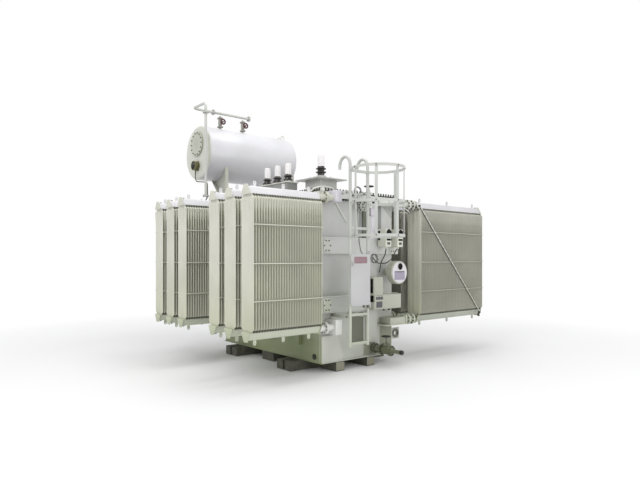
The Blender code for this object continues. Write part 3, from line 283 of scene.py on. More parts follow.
# Dull sheaths of the leads and tubes
RUBBER = grained("cable_sheath", "2a2a28", "3a3a36", 0.6, waves=70.0)
GREY_TUBE = grained("capillary_sheath", "4a4a45", "5a5a54", 0.6, waves=70.0)
GREY_PIPE = grained("grey_pipe_paint", "84858a", "95969a", 0.45, waves=50.0)
# Blank plates: etched grey, faded lilac and faded rose
GREY_PLATE = grained("grey_plate", "4a4b4e", "5a5b5e", 0.45, waves=50.0)
LILAC_PLATE = grained("lilac_grey_plate", "948d9f", "a39cae", 0.45, waves=50.0)
ROSE_PLATE = grained("faded_rose_plate", "8a6c74", "9c7f87", 0.5, waves=50.0)
# White lacquer of the round monitor's face
MONITOR_FACE = grained("white_monitor_face", "d4d2d5", "cbc9ce", 0.35, waves=25.0, bump=0.0001)


# Shapes

def faces_of(verts):
    """Faces that touch any of some vertices."""
    return list({face for vert in verts for face in vert.link_faces})


def verts_in(geometry):
    """Vertices among the parts that an operator returns."""
    return [item for item in geometry if isinstance(item, bmesh.types.BMVert)]


def round_edges(bm, verts, size, segments=2):
    """Bevel the edges of one shape."""
    edges = list({edge for vert in verts for edge in vert.link_edges})
    bmesh.ops.bevel(bm, geom=edges, offset=size, segments=segments, profile=0.5, affect="EDGES",
                    offset_type="OFFSET", clamp_overlap=True, material=-1)


def box(bm, low, high, bevel=0.004, segments=2, turn=None):
    """Upright box between two corners, with rounded edges."""
    low, high = Vector(low), Vector(high)
    verts = bmesh.ops.create_cube(bm, size=1)["verts"]
    bmesh.ops.scale(bm, vec=high - low, verts=verts)
    if turn is not None:
        bmesh.ops.transform(bm, matrix=turn, verts=verts)
    bmesh.ops.translate(bm, vec=(low + high) / 2, verts=verts)
    if bevel:
        round_edges(bm, verts, bevel, segments)


def block(bm, middle, half, bevel=0.004):
    """Box given by its middle and half of each of its sides."""
    middle, half = Vector(middle), Vector(half)
    box(bm, middle - half, middle + half, bevel)


def aim(start, end):
    """Matrix that puts +Z along a line, about its middle."""
    start, end = Vector(start), Vector(end)
    turn = (end - start).to_track_quat("Z", "Y").to_matrix().to_4x4()
    return Matrix.Translation((start + end) / 2) @ turn


def rod(bm, start, end, radius, sides=20, end_radius=None, bevel=0.0):
    """Capped cylinder or cone between two points."""
    far_radius = radius if end_radius is None else end_radius
    made = bmesh.ops.create_cone(bm, cap_ends=True, segments=sides, radius1=radius, radius2=far_radius,
                                 depth=(Vector(end) - Vector(start)).length, matrix=aim(start, end))["verts"]
    if bevel:
        caps = [face for face in faces_of(made) if len(face.verts) == sides]
        rims = list({edge for face in caps for edge in face.edges})
        bmesh.ops.bevel(bm, geom=rims, offset=bevel, segments=2, profile=0.5, affect="EDGES", material=-1)


def lathe(bm, profile, place, axis=(0, 0, 1), steps=32):
    """Spin (radius, height) points about an axis through a place."""
    turn = Matrix.Translation(Vector(place)) @ Vector(axis).to_track_quat("Z", "Y").to_matrix().to_4x4()
    verts = [bm.verts.new(turn @ Vector((radius, 0, height))) for radius, height in profile]
    edges = [bm.edges.new(pair) for pair in zip(verts, verts[1:])]
    bmesh.ops.spin(bm, geom=verts + edges, cent=place, axis=turn.to_3x3() @ Vector((0, 0, 1)),
                   angle=math.tau, steps=steps, use_merge=True)


def ring(bm, place, axis, radius, thickness, steps=32, sides=10):
    """Torus about an axis."""
    profile = []
    for index in range(sides + 1):
        angle = math.tau * index / sides
        profile.append((radius + thickness * math.cos(angle), thickness * math.sin(angle)))
    lathe(bm, profile, place, axis, steps)


def prism(bm, outline, axis, start, end, bevel=0.0):
    """Extrude an outline along X (points are y, z), Y (x, z) or Z (x, y)."""
    along = "XYZ".index(axis)
    verts = []
    for point in outline:
        spot = list(point)
        spot.insert(along, start)
        verts.append(bm.verts.new(spot))
    face = bm.faces.new(verts)
    moved = verts_in(bmesh.ops.extrude_face_region(bm, geom=[face])["geom"])
    shift = Vector((0, 0, 0))
    shift[along] = end - start
    bmesh.ops.translate(bm, vec=shift, verts=moved)
    if bevel:
        round_edges(bm, moved + list(face.verts), bevel)


def bolt(bm, place, axis, size, stud=0.0):
    """Hex head on a washer, with its stud's end where that shows. The size is half of the head's width."""
    place, axis = Vector(place), Vector(axis).normalized()
    rod(bm, place, place + axis * size * 0.2, size * 1.1, sides=10)
    rod(bm, place + axis * size * 0.2, place + axis * size * 0.95, size * 0.9, sides=6)
    if stud:
        rod(bm, place + axis * size * 0.9, place + axis * (size + stud), size * 0.5, sides=6)


def bolt_circle(bm, place, axis, radius, count, size, phase=0.0, stud=0.0):
    """Bolts evenly round an axis."""
    turn = Vector(axis).to_track_quat("Z", "Y").to_matrix()
    for index in range(count):
        angle = math.tau * (index + phase) / count
        spot = Vector(place) + turn @ Vector((math.cos(angle) * radius, math.sin(angle) * radius, 0))
        bolt(bm, spot, axis, size, stud)


def flanges(bm, nuts, middle, axis, radius, thick, count, size):
    """Pair of flanges face to face, with bolts through both."""
    slit = 0.0015
    middle, axis = Vector(middle), Vector(axis).normalized()
    for sign in (-1, 1):
        inner, outer = middle + axis * sign * slit, middle + axis * sign * (thick + slit)
        rod(bm, inner, outer, radius, sides=32, bevel=0.002)
        bolt_circle(nuts, outer, axis * sign, radius * 0.8, count, size, 0.5, stud=size * 0.4)


def eye_plate(bm, place, up, width, height, hole, thickness=0.012):
    """Lifting ear: plate in the XZ plane with a rounded tip and a hole through it."""
    x, y, z = place
    steps = 16
    tip = width * 0.36
    middle = height - tip
    outer, inner = [], []
    for index in range(steps):
        angle = math.tau * index / steps
        lift = math.sin(angle)
        above = lift >= 0
        across = math.cos(angle) * (tip if above else tip + (width / 2 - tip) * -lift)
        rise = middle + lift * tip if above else middle * (1 + lift)
        outer.append(bm.verts.new((x + across, y - thickness / 2, z + up * rise)))
        inner.append(bm.verts.new((x + math.cos(angle) * hole, y - thickness / 2,
                                   z + up * (middle + lift * hole))))
    loops = [bm.edges.new((row[i], row[(i + 1) % steps])) for row in (outer, inner) for i in range(steps)]
    flat = bmesh.ops.bridge_loops(bm, edges=loops)["faces"]
    moved = verts_in(bmesh.ops.extrude_face_region(bm, geom=flat)["geom"])
    bmesh.ops.translate(bm, vec=(0, thickness, 0), verts=moved)


def octagon(middle, half_width, half_height, cut):
    """Outline of a plate with its corners cut off."""
    x, z = middle
    quarter = [(half_width - cut, half_height), (half_width, half_height - cut)]
    right = quarter + [(across, -up) for across, up in reversed(quarter)]
    return [(x + across, z + up) for across, up in right + [(-a, u) for a, u in reversed(right)]]


def edge_spots(half_x, half_y, pitch):
    """Evenly spaced points round a rectangle."""
    signs = ((-1, -1), (1, -1), (1, 1), (-1, 1))
    corners = [Vector((half_x * x, half_y * y)) for x, y in signs]
    spots = []
    for start, end in zip(corners, corners[1:] + corners[:1]):
        count = round((end - start).length / pitch)
        spots += [start.lerp(end, index / count) for index in range(count)]
    return spots


def adopt(made, body, replaces):
    """Put a new object in the scene, on its body and in place of its CAD nodes."""
    bpy.context.scene.collection.objects.link(made)
    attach(made, body)
    if replaces:
        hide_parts(*replaces)
    return made


def piece(name, bm, material, body=FIXED, replaces=(), smooth=32.0):
    """Make a piece of a filled bmesh and shade it smooth up to an angle."""
    bmesh.ops.recalc_face_normals(bm, faces=bm.faces[:])
    mesh = bpy.data.meshes.new(name)
    bm.to_mesh(mesh)
    bm.free()
    mesh.materials.append(material)
    mesh.shade_smooth()
    mesh.set_sharp_from_angle(angle=math.radians(smooth))
    return adopt(bpy.data.objects.new(name, mesh), body, replaces)


def lathed_piece(name, profile, place, material, axis=(0, 0, 1), steps=32, replaces=()):
    """Piece that is one lathed shape."""
    bm = bmesh.new()
    lathe(bm, profile, place, axis, steps)
    return piece(name, bm, material, replaces=replaces)


def rounded(points, radius, steps=6):
    """Turn the corners of a route into arcs."""
    points = [Vector(point) for point in points]
    route = [points[0]]
    for before, corner, after in zip(points, points[1:], points[2:]):
        back, ahead = before - corner, after - corner
        reach = min(radius, back.length * 0.49, ahead.length * 0.49)
        start, end = corner + back.normalized() * reach, corner + ahead.normalized() * reach
        for index in range(steps + 1):
            t = index / steps
            route.append(start * (1 - t) ** 2 + corner * 2 * t * (1 - t) + end * t ** 2)
    return route + [points[-1]]


def tubes(name, routes, radius, material, replaces=(), sides=3):
    """Round bars or pipes along routes, as one curve."""
    curve = bpy.data.curves.new(name, "CURVE")
    curve.dimensions = "3D"
    curve.bevel_depth = radius
    curve.bevel_resolution = sides
    curve.use_fill_caps = True
    for route in routes:
        spline = curve.splines.new("POLY")
        spline.points.add(len(route) - 1)
        for point, spot in zip(spline.points, route):
            point.co = (*spot, 1.0)
    curve.materials.append(material)
    return adopt(bpy.data.objects.new(name, curve), FIXED, replaces)


# Radiators

NECK = 0.19              # width of a header where the panels enter it
NOTCH = 0.034            # height of the dark notches between the panels' necks
TIE_HEIGHTS = (2.32, 1.775, 1.25)
END_STOOP = 0.008        # how far an end plate reaches past its header, towards the panels

# Slots of the panels' painted light and shade: the shaded slots' tone, deep painted shade, and the sunlit end
# faces
SHADED = 1
DEEP_SHADE = 2
SUNLIT = 3

# Side is -1 or 1, near and far are how far its panels stand from the middle, line is their y
Radiator = namedtuple("Radiator", "word number side near far line count")


def panel_section():
    """Half outline of a pressed panel seen from above: welded edges and three shallow channels."""
    half = PANEL_WIDTH / 2
    points = [(half, 0.0015), (half - 0.008, 0.0018), (half - 0.014, 0.0062)]
    for middle in (0.105, 0.0, -0.105):
        points += [(middle + 0.044, 0.0066), (middle - 0.044, 0.0066)]
        if middle > -0.1:
            points += [(middle - 0.0525, 0.0042)]
    return points + [(-half + 0.014, 0.0062), (-half + 0.008, 0.0018), (-half, 0.0015)]


def add_panel(bm, x, line):
    """One oil panel: it swells towards its top collar and has short shoulders at both headers."""
    half = panel_section()
    outline = [(x + t, line + w) for w, t in half] + [(x - t, line + w) for w, t in reversed(half)]
    # Height, width, and thickness as times that of the section
    levels = [(PANEL_BOTTOM - 0.004, 0.21, 1.0), (PANEL_BOTTOM + NOTCH, 0.29, 1.0),
              (PANEL_BOTTOM + 0.05, 0.33, 1.0), (PANEL_TOP - 0.36, 0.33, 1.0), (PANEL_TOP - 0.25, 0.33, 1.6),
              (PANEL_TOP - 0.16, 0.33, 2.6), (PANEL_TOP - 0.055, 0.33, 2.95), (PANEL_TOP - NOTCH, 0.29, 1.0),
              (PANEL_TOP + 0.004, 0.21, 1.0)]
    height, width, thick = levels[0]
    foot = [(px, line + (py - line) * width / PANEL_WIDTH, height) for px, py in outline]
    face = bm.faces.new([bm.verts.new(spot) for spot in foot])
    for next_height, next_width, next_thick in levels[1:]:
        grown = bmesh.ops.extrude_face_region(bm, geom=[face])["geom"]
        verts = verts_in(grown)
        face = [item for item in grown if isinstance(item, bmesh.types.BMFace)][0]
        bmesh.ops.translate(bm, vec=(-x, -line, next_height - height), verts=verts)
        bmesh.ops.scale(bm, vec=(next_thick / thick, next_width / width, 1), verts=verts)
        bmesh.ops.translate(bm, vec=(x, line, 0), verts=verts)
        height, width, thick = next_height, next_width, next_thick


def mouth(up):
    """Height where the panels enter the upper header (1) or the lower one (-1)."""
    return PANEL_TOP if up > 0 else PANEL_BOTTOM


def end_view(half, line, base, up):
    """Outline of a header's section or end plate from its half, crest away from the panels."""
    whole = [(-across, rise) for across, rise in half] + half[::-1]
    return [(line + across, base + up * rise) for across, rise in whole]


def make_panels(unit):
    """Row of panels, dull where they face each other with a coat toned as painted light there, and painted
    shade in the notches at their necks and on the near ends of the inner long radiators.
    """
    word, number, side, near, far, line, count = unit
    panels = bmesh.new()
    add_panel(panels, side * (near + 0.007), line)
    pattern = panels.verts[:] + panels.edges[:] + panels.faces[:]
    for index in range(1, count):
        copied = verts_in(bmesh.ops.duplicate(panels, geom=pattern)["geom"])
        bmesh.ops.translate(panels, vec=(side * index * PITCH, 0, 0), verts=copied)
    # The right bank takes darker copies of the coats as painted shade
    paint, shaded = (PANEL_PAINT, SLOT_LIGHT_PAINT) if side < 0 else (RIGHT_PANEL_SHADE_PAINT, RIGHT_SLOT_LIGHT_PAINT)
    made = piece(f"panels_{word}_{number}", panels, paint, replaces=(f"radiator_{word}_{number}",),
                 smooth=40.0)
    for extra in (shaded, DEEP_SHADE_OLIVE, PANEL_PAINT):
        made.data.materials.append(extra)
    for face in made.data.polygons:
        if abs(face.normal.x) < 0.5:
            continue
        depth = abs(face.center.x) - near
        height = face.center.z
        # Near end faces: painted light where they face the light, painted shade on the inner long radiators
        if depth < 0.004:
            face.material_index = SUNLIT if side < 0 or number == 1 else DEEP_SHADE
        # Faces between the panels: painted shade in the neck notches, the slots' own tone elsewhere
        elif depth < far - near - 0.006:
            notched = height < PANEL_BOTTOM + NOTCH or height > PANEL_TOP - NOTCH
            face.material_index = DEEP_SHADE if notched else SHADED


def make_headers(unit):
    """Two folded headers with three lifting eyes each, and the plates that close them."""
    word, number, side, near, far, line, _ = unit
    section = [(NECK / 2, 0), (NECK / 2 - 0.004, 0.018), (0.058, HEADER_HEIGHT - 0.014),
               (0.044, HEADER_HEIGHT)]
    cover = [(0.118, 0), (0.112, 0.03), (0.058, HEADER_HEIGHT + 0.020), (0.042, HEADER_HEIGHT + 0.034)]
    headers, ends = bmesh.new(), bmesh.new()
    inner, outer, plate = side * (near - 0.03), side * (far + 0.03), side * 0.008
    for up in (1, -1):
        prism(headers, end_view(section, line, mouth(up), up), "X", inner, outer - side * 0.005, bevel=0.003)
        crest = mouth(up) + up * HEADER_HEIGHT
        for x in (side * (near + 0.14), side * (near + far) / 2, side * (far - 0.12)):
            eye_plate(headers, (x, line, crest - up * 0.012), up, 0.068, 0.095, 0.009)
        outline = end_view(cover, line, mouth(up) - up * END_STOOP, up)
        for start in (inner, outer - plate):
            prism(ends, outline, "X", start, start + plate, bevel=0.002)
    # The right bank's headers take the darker copy as painted shade
    piece(f"headers_{word}_{number}", headers, HEADER_PAINT if side < 0 else RIGHT_HEADER_SHADE_PAINT, smooth=25.0)
    # The end plates take the olive painted shade
    piece(f"header_ends_{word}_{number}", ends, HEADER_END_SHADE_PAINT, smooth=25.0)


def make_ties(unit):
    """Tie bars welded along the panels' edges."""
    word, number, side, near, far, line, _ = unit
    ties = bmesh.new()
    start, end = sorted((side * (near - 0.004), side * (far + 0.004)))
    for height in TIE_HEIGHTS:
        for facing in (-1, 1):
            y = line + facing * (PANEL_WIDTH / 2 + 0.003)
            box(ties, (start, y - 0.006, height - 0.007), (end, y + 0.006, height + 0.007), bevel=0.003)
    # The right bank's ties take the darker copy as painted shade
    piece(f"ties_{word}_{number}", ties, PANEL_PAINT if side < 0 else RIGHT_PANEL_SHADE_PAINT)


def make_header_nuts(unit):
    """Plugs and clips of the headers, and the valves to the wall of a radiator that stands beside it."""
    word, number, side, near, far, line, _ = unit
    nuts = bmesh.new()
    start, end = sorted((side * (near - 0.034), side * (near - 0.012)))
    for up in (1, -1):
        crest = mouth(up) + up * HEADER_HEIGHT
        for x in (far - 0.03, near + 0.06):
            bolt(nuts, (side * x, line, crest - up * 0.002), (0, 0, up), 0.018)
        box(nuts, (start, line - NECK / 2 - 0.012, crest - up * 0.15),
            (end, line - NECK / 2, crest - up * 0.10))
    if line > FRONT_WALL:
        pipes = bmesh.new()
        middle = side * (near - 0.062)
        stem = middle - side * 0.013
        for height in (PIPE_HIGH, PIPE_LOW):
            rod(pipes, (side * WALL_X, line, height), (side * (near - 0.03), line, height), 0.05, sides=24)
            flanges(pipes, nuts, (stem, line, height), (1, 0, 0), 0.092, 0.016, 8, 0.010)
            rod(pipes, (stem, line, height), (stem, line - 0.13, height), 0.010)
        piece(f"pipes_{word}_{number}", pipes, FITTING_PAINT)
    piece(f"nuts_{word}_{number}", nuts, BOLT_STEEL)


def make_radiator(word, number, side, reach, count):
    """Replace one finned radiator of the CAD."""
    low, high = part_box(f"radiator_{word}_{number}")
    near = WALL_X + reach
    far = near + (count - 1) * PITCH + 0.014
    unit = Radiator(word, number, side, near, far, (low[1] + high[1]) / 2, count)
    make_panels(unit)
    make_headers(unit)
    make_ties(unit)
    make_header_nuts(unit)


def make_brace():
    """Diagonal bracing rod across the first long radiator, ribbed by its thread, with its clamps and a thin
    dark rod beside it as its painted shadow.
    """
    y = FRONT_LINE - PANEL_WIDTH / 2 - 0.014
    high, low = Vector((1.20, y, 2.79)), Vector((3.05, y, 0.77))
    bm = bmesh.new()
    rod(bm, high, low, 0.010)
    piece("brace_rod", bm, FITTING_PAINT)
    bm = bmesh.new()
    # A thin dark rod just off the brace, painted as its shadow on the fins
    shade = Vector((-0.011, 0.007, -0.009))
    rod(bm, high + shade, low + shade, 0.005, sides=10)
    ribs = 24
    for index in range(1, ribs):
        ring(bm, high.lerp(low, index / ribs), low - high, 0.010, 0.0035, 14, 6)
    for corner, start, end in ((high, (-0.012, -0.01, -0.02), (0.012, 0.03, 0.012)),
                               (low, (-0.02, -0.01, -0.03), (0.02, 0.03, 0.02)),
                               (low, (-0.03, 0.0, -0.09), (0.002, 0.035, -0.03))):
        box(bm, corner + Vector(start), corner + Vector(end))
    piece("brace_clamps_and_shadow", bm, DARK_STEEL)


# Tank, cover and skid

BAND_EDGES = (LOWER_BAND - BAND_HALF, LOWER_BAND + BAND_HALF, UPPER_BAND - BAND_HALF, UPPER_BAND + BAND_HALF)
STIFFENER_FOOT = 2.185
STIFFENER_TOP = 2.80
HATCH = (0.42, 0.35)     # its middle on the cover
TANK_WIDTH = 2 * WALL_X


def make_tank_plates():
    """Base flange, blocks at its corners and a slanting strip on the ladder wall."""
    plates = bmesh.new()
    for side in (-1, 1):
        for facing in (-1, 1):
            block(plates, (side * WALL_X, facing * (WALL_Y + 0.012), 0.175), (0.012, 0.02, 0.01))
    block(plates, (0, 0, 0.16825), (WALL_X + 0.018, WALL_Y + 0.055, 0.00775), bevel=0.003)
    strip = [(-0.50, 2.78), (-0.52, 2.75), (-0.27, 2.43), (-0.25, 2.46)]
    prism(plates, strip, "Y", FRONT_WALL - 0.02, FRONT_WALL)
    piece("tank_plates", plates, TANK_PAINT)


def make_band_ends(nuts):
    """Bolted plates with cut corners at the ends of the box bands."""
    ends = bmesh.new()
    bolts = 6
    for facing in (-1, 1):
        face = facing * (WALL_Y + BAND_DEPTH)
        front = face + facing * 0.014
        for x in (-0.755, 0.755):
            for z in (LOWER_BAND, UPPER_BAND):
                prism(ends, octagon((x, z), 0.08, 0.118, 0.04), "Y", face, front, bevel=0.003)
                for index in range(bolts):
                    angle = math.tau * (index + 0.5) / bolts
                    spot = (x + 0.0616 * math.sin(angle), front, z + 0.09 * math.cos(angle))
                    bolt(nuts, spot, (0, facing, 0), 0.011)
    piece("band_end_plates", ends, FITTING_PAINT)


def make_tank_bolts(nuts):
    """Bolts round the rim of the cover and a plug low on the long wall."""
    for spot in edge_spots(RIM_X - 0.034, RIM_Y - 0.034, 0.063):
        bolt(nuts, (spot.x, spot.y, COVER_TOP), (0, 0, 1), 0.027, stud=0.036)
        bolt(nuts, (spot.x, spot.y, RIM_BOTTOM), (0, 0, -1), 0.024, stud=0.006)
    lathe(nuts, [(0.0, 0.006), (0.020, 0.006), (0.026, 0.014), (0.046, 0.014), (0.046, 0.0)],
          (-WALL_X - 0.001, -1.353, 0.255), (-1, 0, 0), 20)
    piece("tank_bolts", nuts, DARK_STEEL)


def wall_plate(bm, left, right, bottom, top, depth, bevel=0.002, sunk=0.0):
    """Flat plate or stiffener on the ladder wall."""
    box(bm, (left, FRONT_WALL - depth, bottom), (right, FRONT_WALL + sunk, top), bevel)


def make_shadow_parts():
    """Painted shade in dark olive on the rim's gasket, on the curb between the cover's bolts, on a recess and
    on a rib in shade; the lugs' collars share the olive.
    """
    dark = bmesh.new()
    box(dark, (-RIM_X + 0.008, -RIM_Y + 0.008, RIM_BOTTOM + 0.040),
        (RIM_X - 0.008, RIM_Y - 0.008, RIM_BOTTOM + 0.050), bevel=0.001)
    inside, outside = RIM_X - 0.078, RIM_X - 0.066
    back, front, end = RIM_Y - 0.078, RIM_Y - 0.066, RIM_Y - 0.08
    for facing in (-1, 1):
        along_x = [(-outside, facing * back), (outside, facing * back), (outside, facing * front),
                   (-outside, facing * front)]
        along_y = [(facing * inside, -end), (facing * outside, -end), (facing * outside, end),
                   (facing * inside, end)]
        for plan in (along_x, along_y):
            prism(dark, plan, "Z", COVER_TOP, COVER_TOP + 0.032, bevel=0.002)
        for turn in (-1, 1):
            lathe(dark, [(0.047, 0.012), (0.047, 0.026), (0.078, 0.026), (0.082, 0.022), (0.082, 0.012)],
                  (1.02, facing * (WALL_Y - 0.085), 0.48), (0, turn, 0), 28)
    wall_plate(dark, -0.15, 0.133, 0.43, 0.93, 0.004, sunk=0.001)
    wall_plate(dark, 0.10, 0.185, STIFFENER_FOOT, STIFFENER_TOP, 0.030, bevel=0.004)
    piece("tank_shadow_panel", dark, DEEP_SHADE_OLIVE)


def make_wall_shade_panels():
    """Painted shade on the ladder wall: dull olive patches low down, grey strips high up and a painted shadow
    triangle under the right duct.
    """
    low, high = bmesh.new(), bmesh.new()
    wall_plate(low, 0.535, 0.826, 0.185, 0.655, 0.004, sunk=0.001)
    wall_plate(low, 0.14, 0.33, 0.185, 0.42, 0.004, sunk=0.001)
    piece("tank_low_shade_panels", low, SHADED_WALL)
    wall_plate(high, 0.04, 0.10, STIFFENER_FOOT, STIFFENER_TOP, 0.010)
    wall_plate(high, 0.49, 0.56, STIFFENER_FOOT, STIFFENER_TOP, 0.010)
    prism(high, [(0.60, 2.76), (0.826, 2.76), (0.826, 2.56)], "Y", FRONT_WALL - 0.006, FRONT_WALL)
    piece("tank_high_shade_panels", high, LOW_TURRET_AND_WALL_SHADE_PAINT)


def make_band_highlight_beads():
    """Pale rods along the upper edges of the box bands, as a painted highlight on those edges."""
    edges = bmesh.new()
    for facing in (-1, 1):
        face = facing * (WALL_Y + BAND_DEPTH)
        for z in (LOWER_BAND + BAND_HALF, UPPER_BAND + BAND_HALF):
            rod(edges, (-WALL_X, face, z), (WALL_X, face, z), 0.007, sides=10)
    piece("band_edge_highlight_beads", edges, HEADER_PAINT)


def make_pale_stiffener():
    """Stiffener of the ladder wall in the lavender coat, a painted highlight where it catches the light,
    shallower in its upper part.
    """
    pale = bmesh.new()
    wall_plate(pale, 0.262, 0.385, STIFFENER_FOOT, 2.565, 0.066, bevel=0.004)
    wall_plate(pale, 0.292, 0.385, 2.56, STIFFENER_TOP, 0.028, bevel=0.004)
    piece("tank_pale_stiffener", pale, LAVENDER_HIGHLIGHT_PAINT)


def make_seams():
    """Weld seams along the box bands and down the corners."""
    seams = bmesh.new()
    for facing in (-1, 1):
        wall = facing * WALL_Y
        for z in BAND_EDGES:
            rod(seams, (-WALL_X, wall, z), (WALL_X, wall, z), 0.007, sides=8)
            rod(seams, (facing * WALL_X, -WALL_Y, z), (facing * WALL_X, WALL_Y, z), 0.007, sides=8)
        for x in (-WALL_X, WALL_X):
            rod(seams, (x, wall, 0.18), (x, wall, RIM_BOTTOM), 0.006, sides=8)
    piece("tank_seams", seams, FITTING_PAINT)


def make_tank_fittings():
    """Plates, bolts, painted shade, painted highlights and seams that the CAD leaves off the tank."""
    nuts = bmesh.new()
    make_tank_plates()
    make_band_ends(nuts)
    make_tank_bolts(nuts)
    make_shadow_parts()
    make_wall_shade_panels()
    make_band_highlight_beads()
    make_pale_stiffener()
    make_seams()


def make_cover_fittings():
    """Hatch, lifting eyes, pockets and small pipes on the cover."""
    plates, nuts = bmesh.new(), bmesh.new()
    lathe(plates, [(0.0, 0.034), (0.20, 0.034), (0.205, 0.03), (0.205, 0.0)], (*HATCH, COVER_TOP))
    bolt_circle(nuts, (*HATCH, COVER_TOP + 0.034), (0, 0, 1), 0.178, 12, 0.011)
    for x in (-0.72, 0.72):
        for y in (-1.02, 1.18):
            eye_plate(plates, (x, y, COVER_TOP), 1, 0.13, 0.12, 0.026, thickness=0.022)
    for spot in ((0.30, -1.15), (0.55, -0.6), (0.55, 1.0)):
        lathe(plates, [(0.0, 0.10), (0.022, 0.10), (0.022, 0.06), (0.034, 0.055), (0.034, 0.0)],
              (*spot, COVER_TOP))
    left, right, y = -0.05, 0.10, -1.46
    for x in (left, right):
        rod(plates, (x, y, COVER_TOP), (x, y, COVER_TOP + 0.014), 0.036)
    piece("cover_fittings", plates, FITTING_PAINT)
    piece("cover_fitting_bolts", nuts, BOLT_STEEL)
    arch, steps, bend = [], 12, (right - left) / 2
    for index in range(steps + 1):
        angle = math.pi * index / steps
        arch.append((left + bend * (1 - math.cos(angle)), y, COVER_TOP + bend + bend * math.sin(angle)))
    tubes("cover_arch_pipe", [[(left, y, COVER_TOP), *arch, (right, y, COVER_TOP)]], 0.015, GREY_PIPE)


def make_skid_ends():
    """Lighter end plates on the runners."""
    plates = bmesh.new()
    for share in (-0.26, 0.163):
        x = share * TANK_WIDTH
        for facing in (-1, 1):
            face = facing * (WALL_Y + 0.04)
            near, far = sorted((face, face + facing * 0.008))
            box(plates, (x - 0.085, near, 0.012), (x + 0.085, far, 0.145))
    piece("runner_end_plates", plates, RUNNER_PAINT)


# Feeds past the ladder wall

RIGHT_FEED_END = WALL_X + RIGHT_REACH - 0.03


def feed_flanges(pipes, nuts, spots, height, size):
    """Flanged joints along a feed pipe."""
    for x in spots:
        flanges(pipes, nuts, (x, FRONT_LINE, height), (1, 0, 0), 0.094, 0.018, 8, size)


def feed_pipe(pipes, start, end, height, radius=0.05, bevel=0.0):
    """Pipe in line with the first radiators of both banks."""
    rod(pipes, (start, FRONT_LINE, height), (end, FRONT_LINE, height), radius, sides=28, bevel=bevel)


def make_left_feeds():
    """Two boxes on the wall, each with a flanged pipe to the first short radiator."""
    for word, height, sink, box_paint, pipe_paint in (
            # The upper box takes the lavender painted highlight, and its pipe the olive painted shade of the
            # header ends
            ("upper", PIPE_HIGH, 0.065, LAVENDER_HIGHLIGHT_PAINT, HEADER_END_SHADE_PAINT),
            ("lower", PIPE_LOW, 0.12, LOW_DUCT_PAINT, LOW_DUCT_PAINT)):
        boxes, pipes, nuts = bmesh.new(), bmesh.new(), bmesh.new()
        box(boxes, (-0.72, DUCT_FACE, height - sink), (-0.59, FRONT_WALL, height + 0.12), bevel=0.008)
        piece(f"left_{word}_box", boxes, box_paint, replaces=(f"left_{word}_duct",))
        feed_pipe(pipes, -0.66, -1.03, height)
        feed_flanges(pipes, nuts, (-0.87,), height, 0.010)
        piece(f"left_{word}_pipe", pipes, pipe_paint)
        piece(f"left_{word}_nuts", nuts, BOLT_STEEL)


def make_right_feeds():
    """Ducts and pipes to the first long radiator, with two joints and a valve stem each."""
    duct, pipes, nuts = bmesh.new(), bmesh.new(), bmesh.new()
    box(duct, (0.53, DUCT_FACE, PIPE_LOW - 0.06), (0.91, FRONT_WALL, PIPE_LOW + 0.06), bevel=0.008)
    piece("right_lower_duct_box", duct, DISC_PAINT, replaces=("right_lower_duct",))
    box(pipes, (0.42, DUCT_FACE - 0.012, PIPE_LOW - 0.072), (0.93, FRONT_WALL, PIPE_LOW - 0.058), bevel=0.003)
    feed_pipe(pipes, 0.88, RIGHT_FEED_END, PIPE_LOW)
    block(pipes, (0.97, FRONT_LINE, PIPE_LOW), (0.015, 0.075, 0.085), bevel=0.01)
    feed_flanges(pipes, nuts, (1.05, 1.17), PIPE_LOW, 0.012)
    rod(pipes, (1.11, FRONT_LINE, PIPE_LOW), (1.11, FRONT_LINE - 0.13, PIPE_LOW), 0.012)
    piece("right_lower_duct_pipe", pipes, FITTING_PAINT)
    piece("right_lower_duct_nuts", nuts, BOLT_STEEL)

    pipes, nuts = bmesh.new(), bmesh.new()
    box(pipes, (0.53, DUCT_FACE + 0.02, PIPE_HIGH - 0.055), (0.91, FRONT_WALL, PIPE_HIGH + 0.055), bevel=0.02,
        segments=4)
    feed_pipe(pipes, 0.30, RIGHT_FEED_END, PIPE_HIGH, 0.052, bevel=0.01)
    feed_flanges(pipes, nuts, (1.06, 1.17), PIPE_HIGH, 0.013)
    rod(pipes, (1.115, FRONT_LINE, PIPE_HIGH), (1.115, FRONT_LINE - 0.14, PIPE_HIGH), 0.012)
    rod(pipes, (0.88, FRONT_LINE - 0.06, 2.755), (1.06, FRONT_LINE - 0.06, 2.655), 0.012)
    piece("right_upper_duct_box", pipes, FITTING_PAINT, replaces=("right_upper_duct",))
    piece("right_upper_duct_nuts", nuts, BOLT_STEEL)


def make_feed_tubes():
    """Lead under the right joints, and the vent with its tube over the left ones."""
    y = FRONT_LINE
    lead = [(0.86, y - 0.05, 2.77), (0.93, y - 0.07, 2.70), (1.08, y - 0.06, 2.64), (1.10, y - 0.03, 2.72)]
    tubes("valve_lead", [rounded(lead, 0.04)], 0.009, RUBBER)
    vent = [(-1.16, y, 2.87), (-1.10, y, 2.925), (-0.93, y, 2.975), (-0.72, y, 2.965), (-0.655, y, 2.925)]
    tubes("vent_tube", [rounded(vent, 0.08)], 0.011, FITTING_PAINT)
    lathed_piece("vent_plug", [(0.0, 0.115), (0.022, 0.112), (0.036, 0.095), (0.040, 0.078), (0.036, 0.06),
                               (0.022, 0.048), (0.020, 0.0)], (-0.916, y, PIPE_HIGH + 0.035), FITTING_PAINT)


# Conservator, its pipes and relay

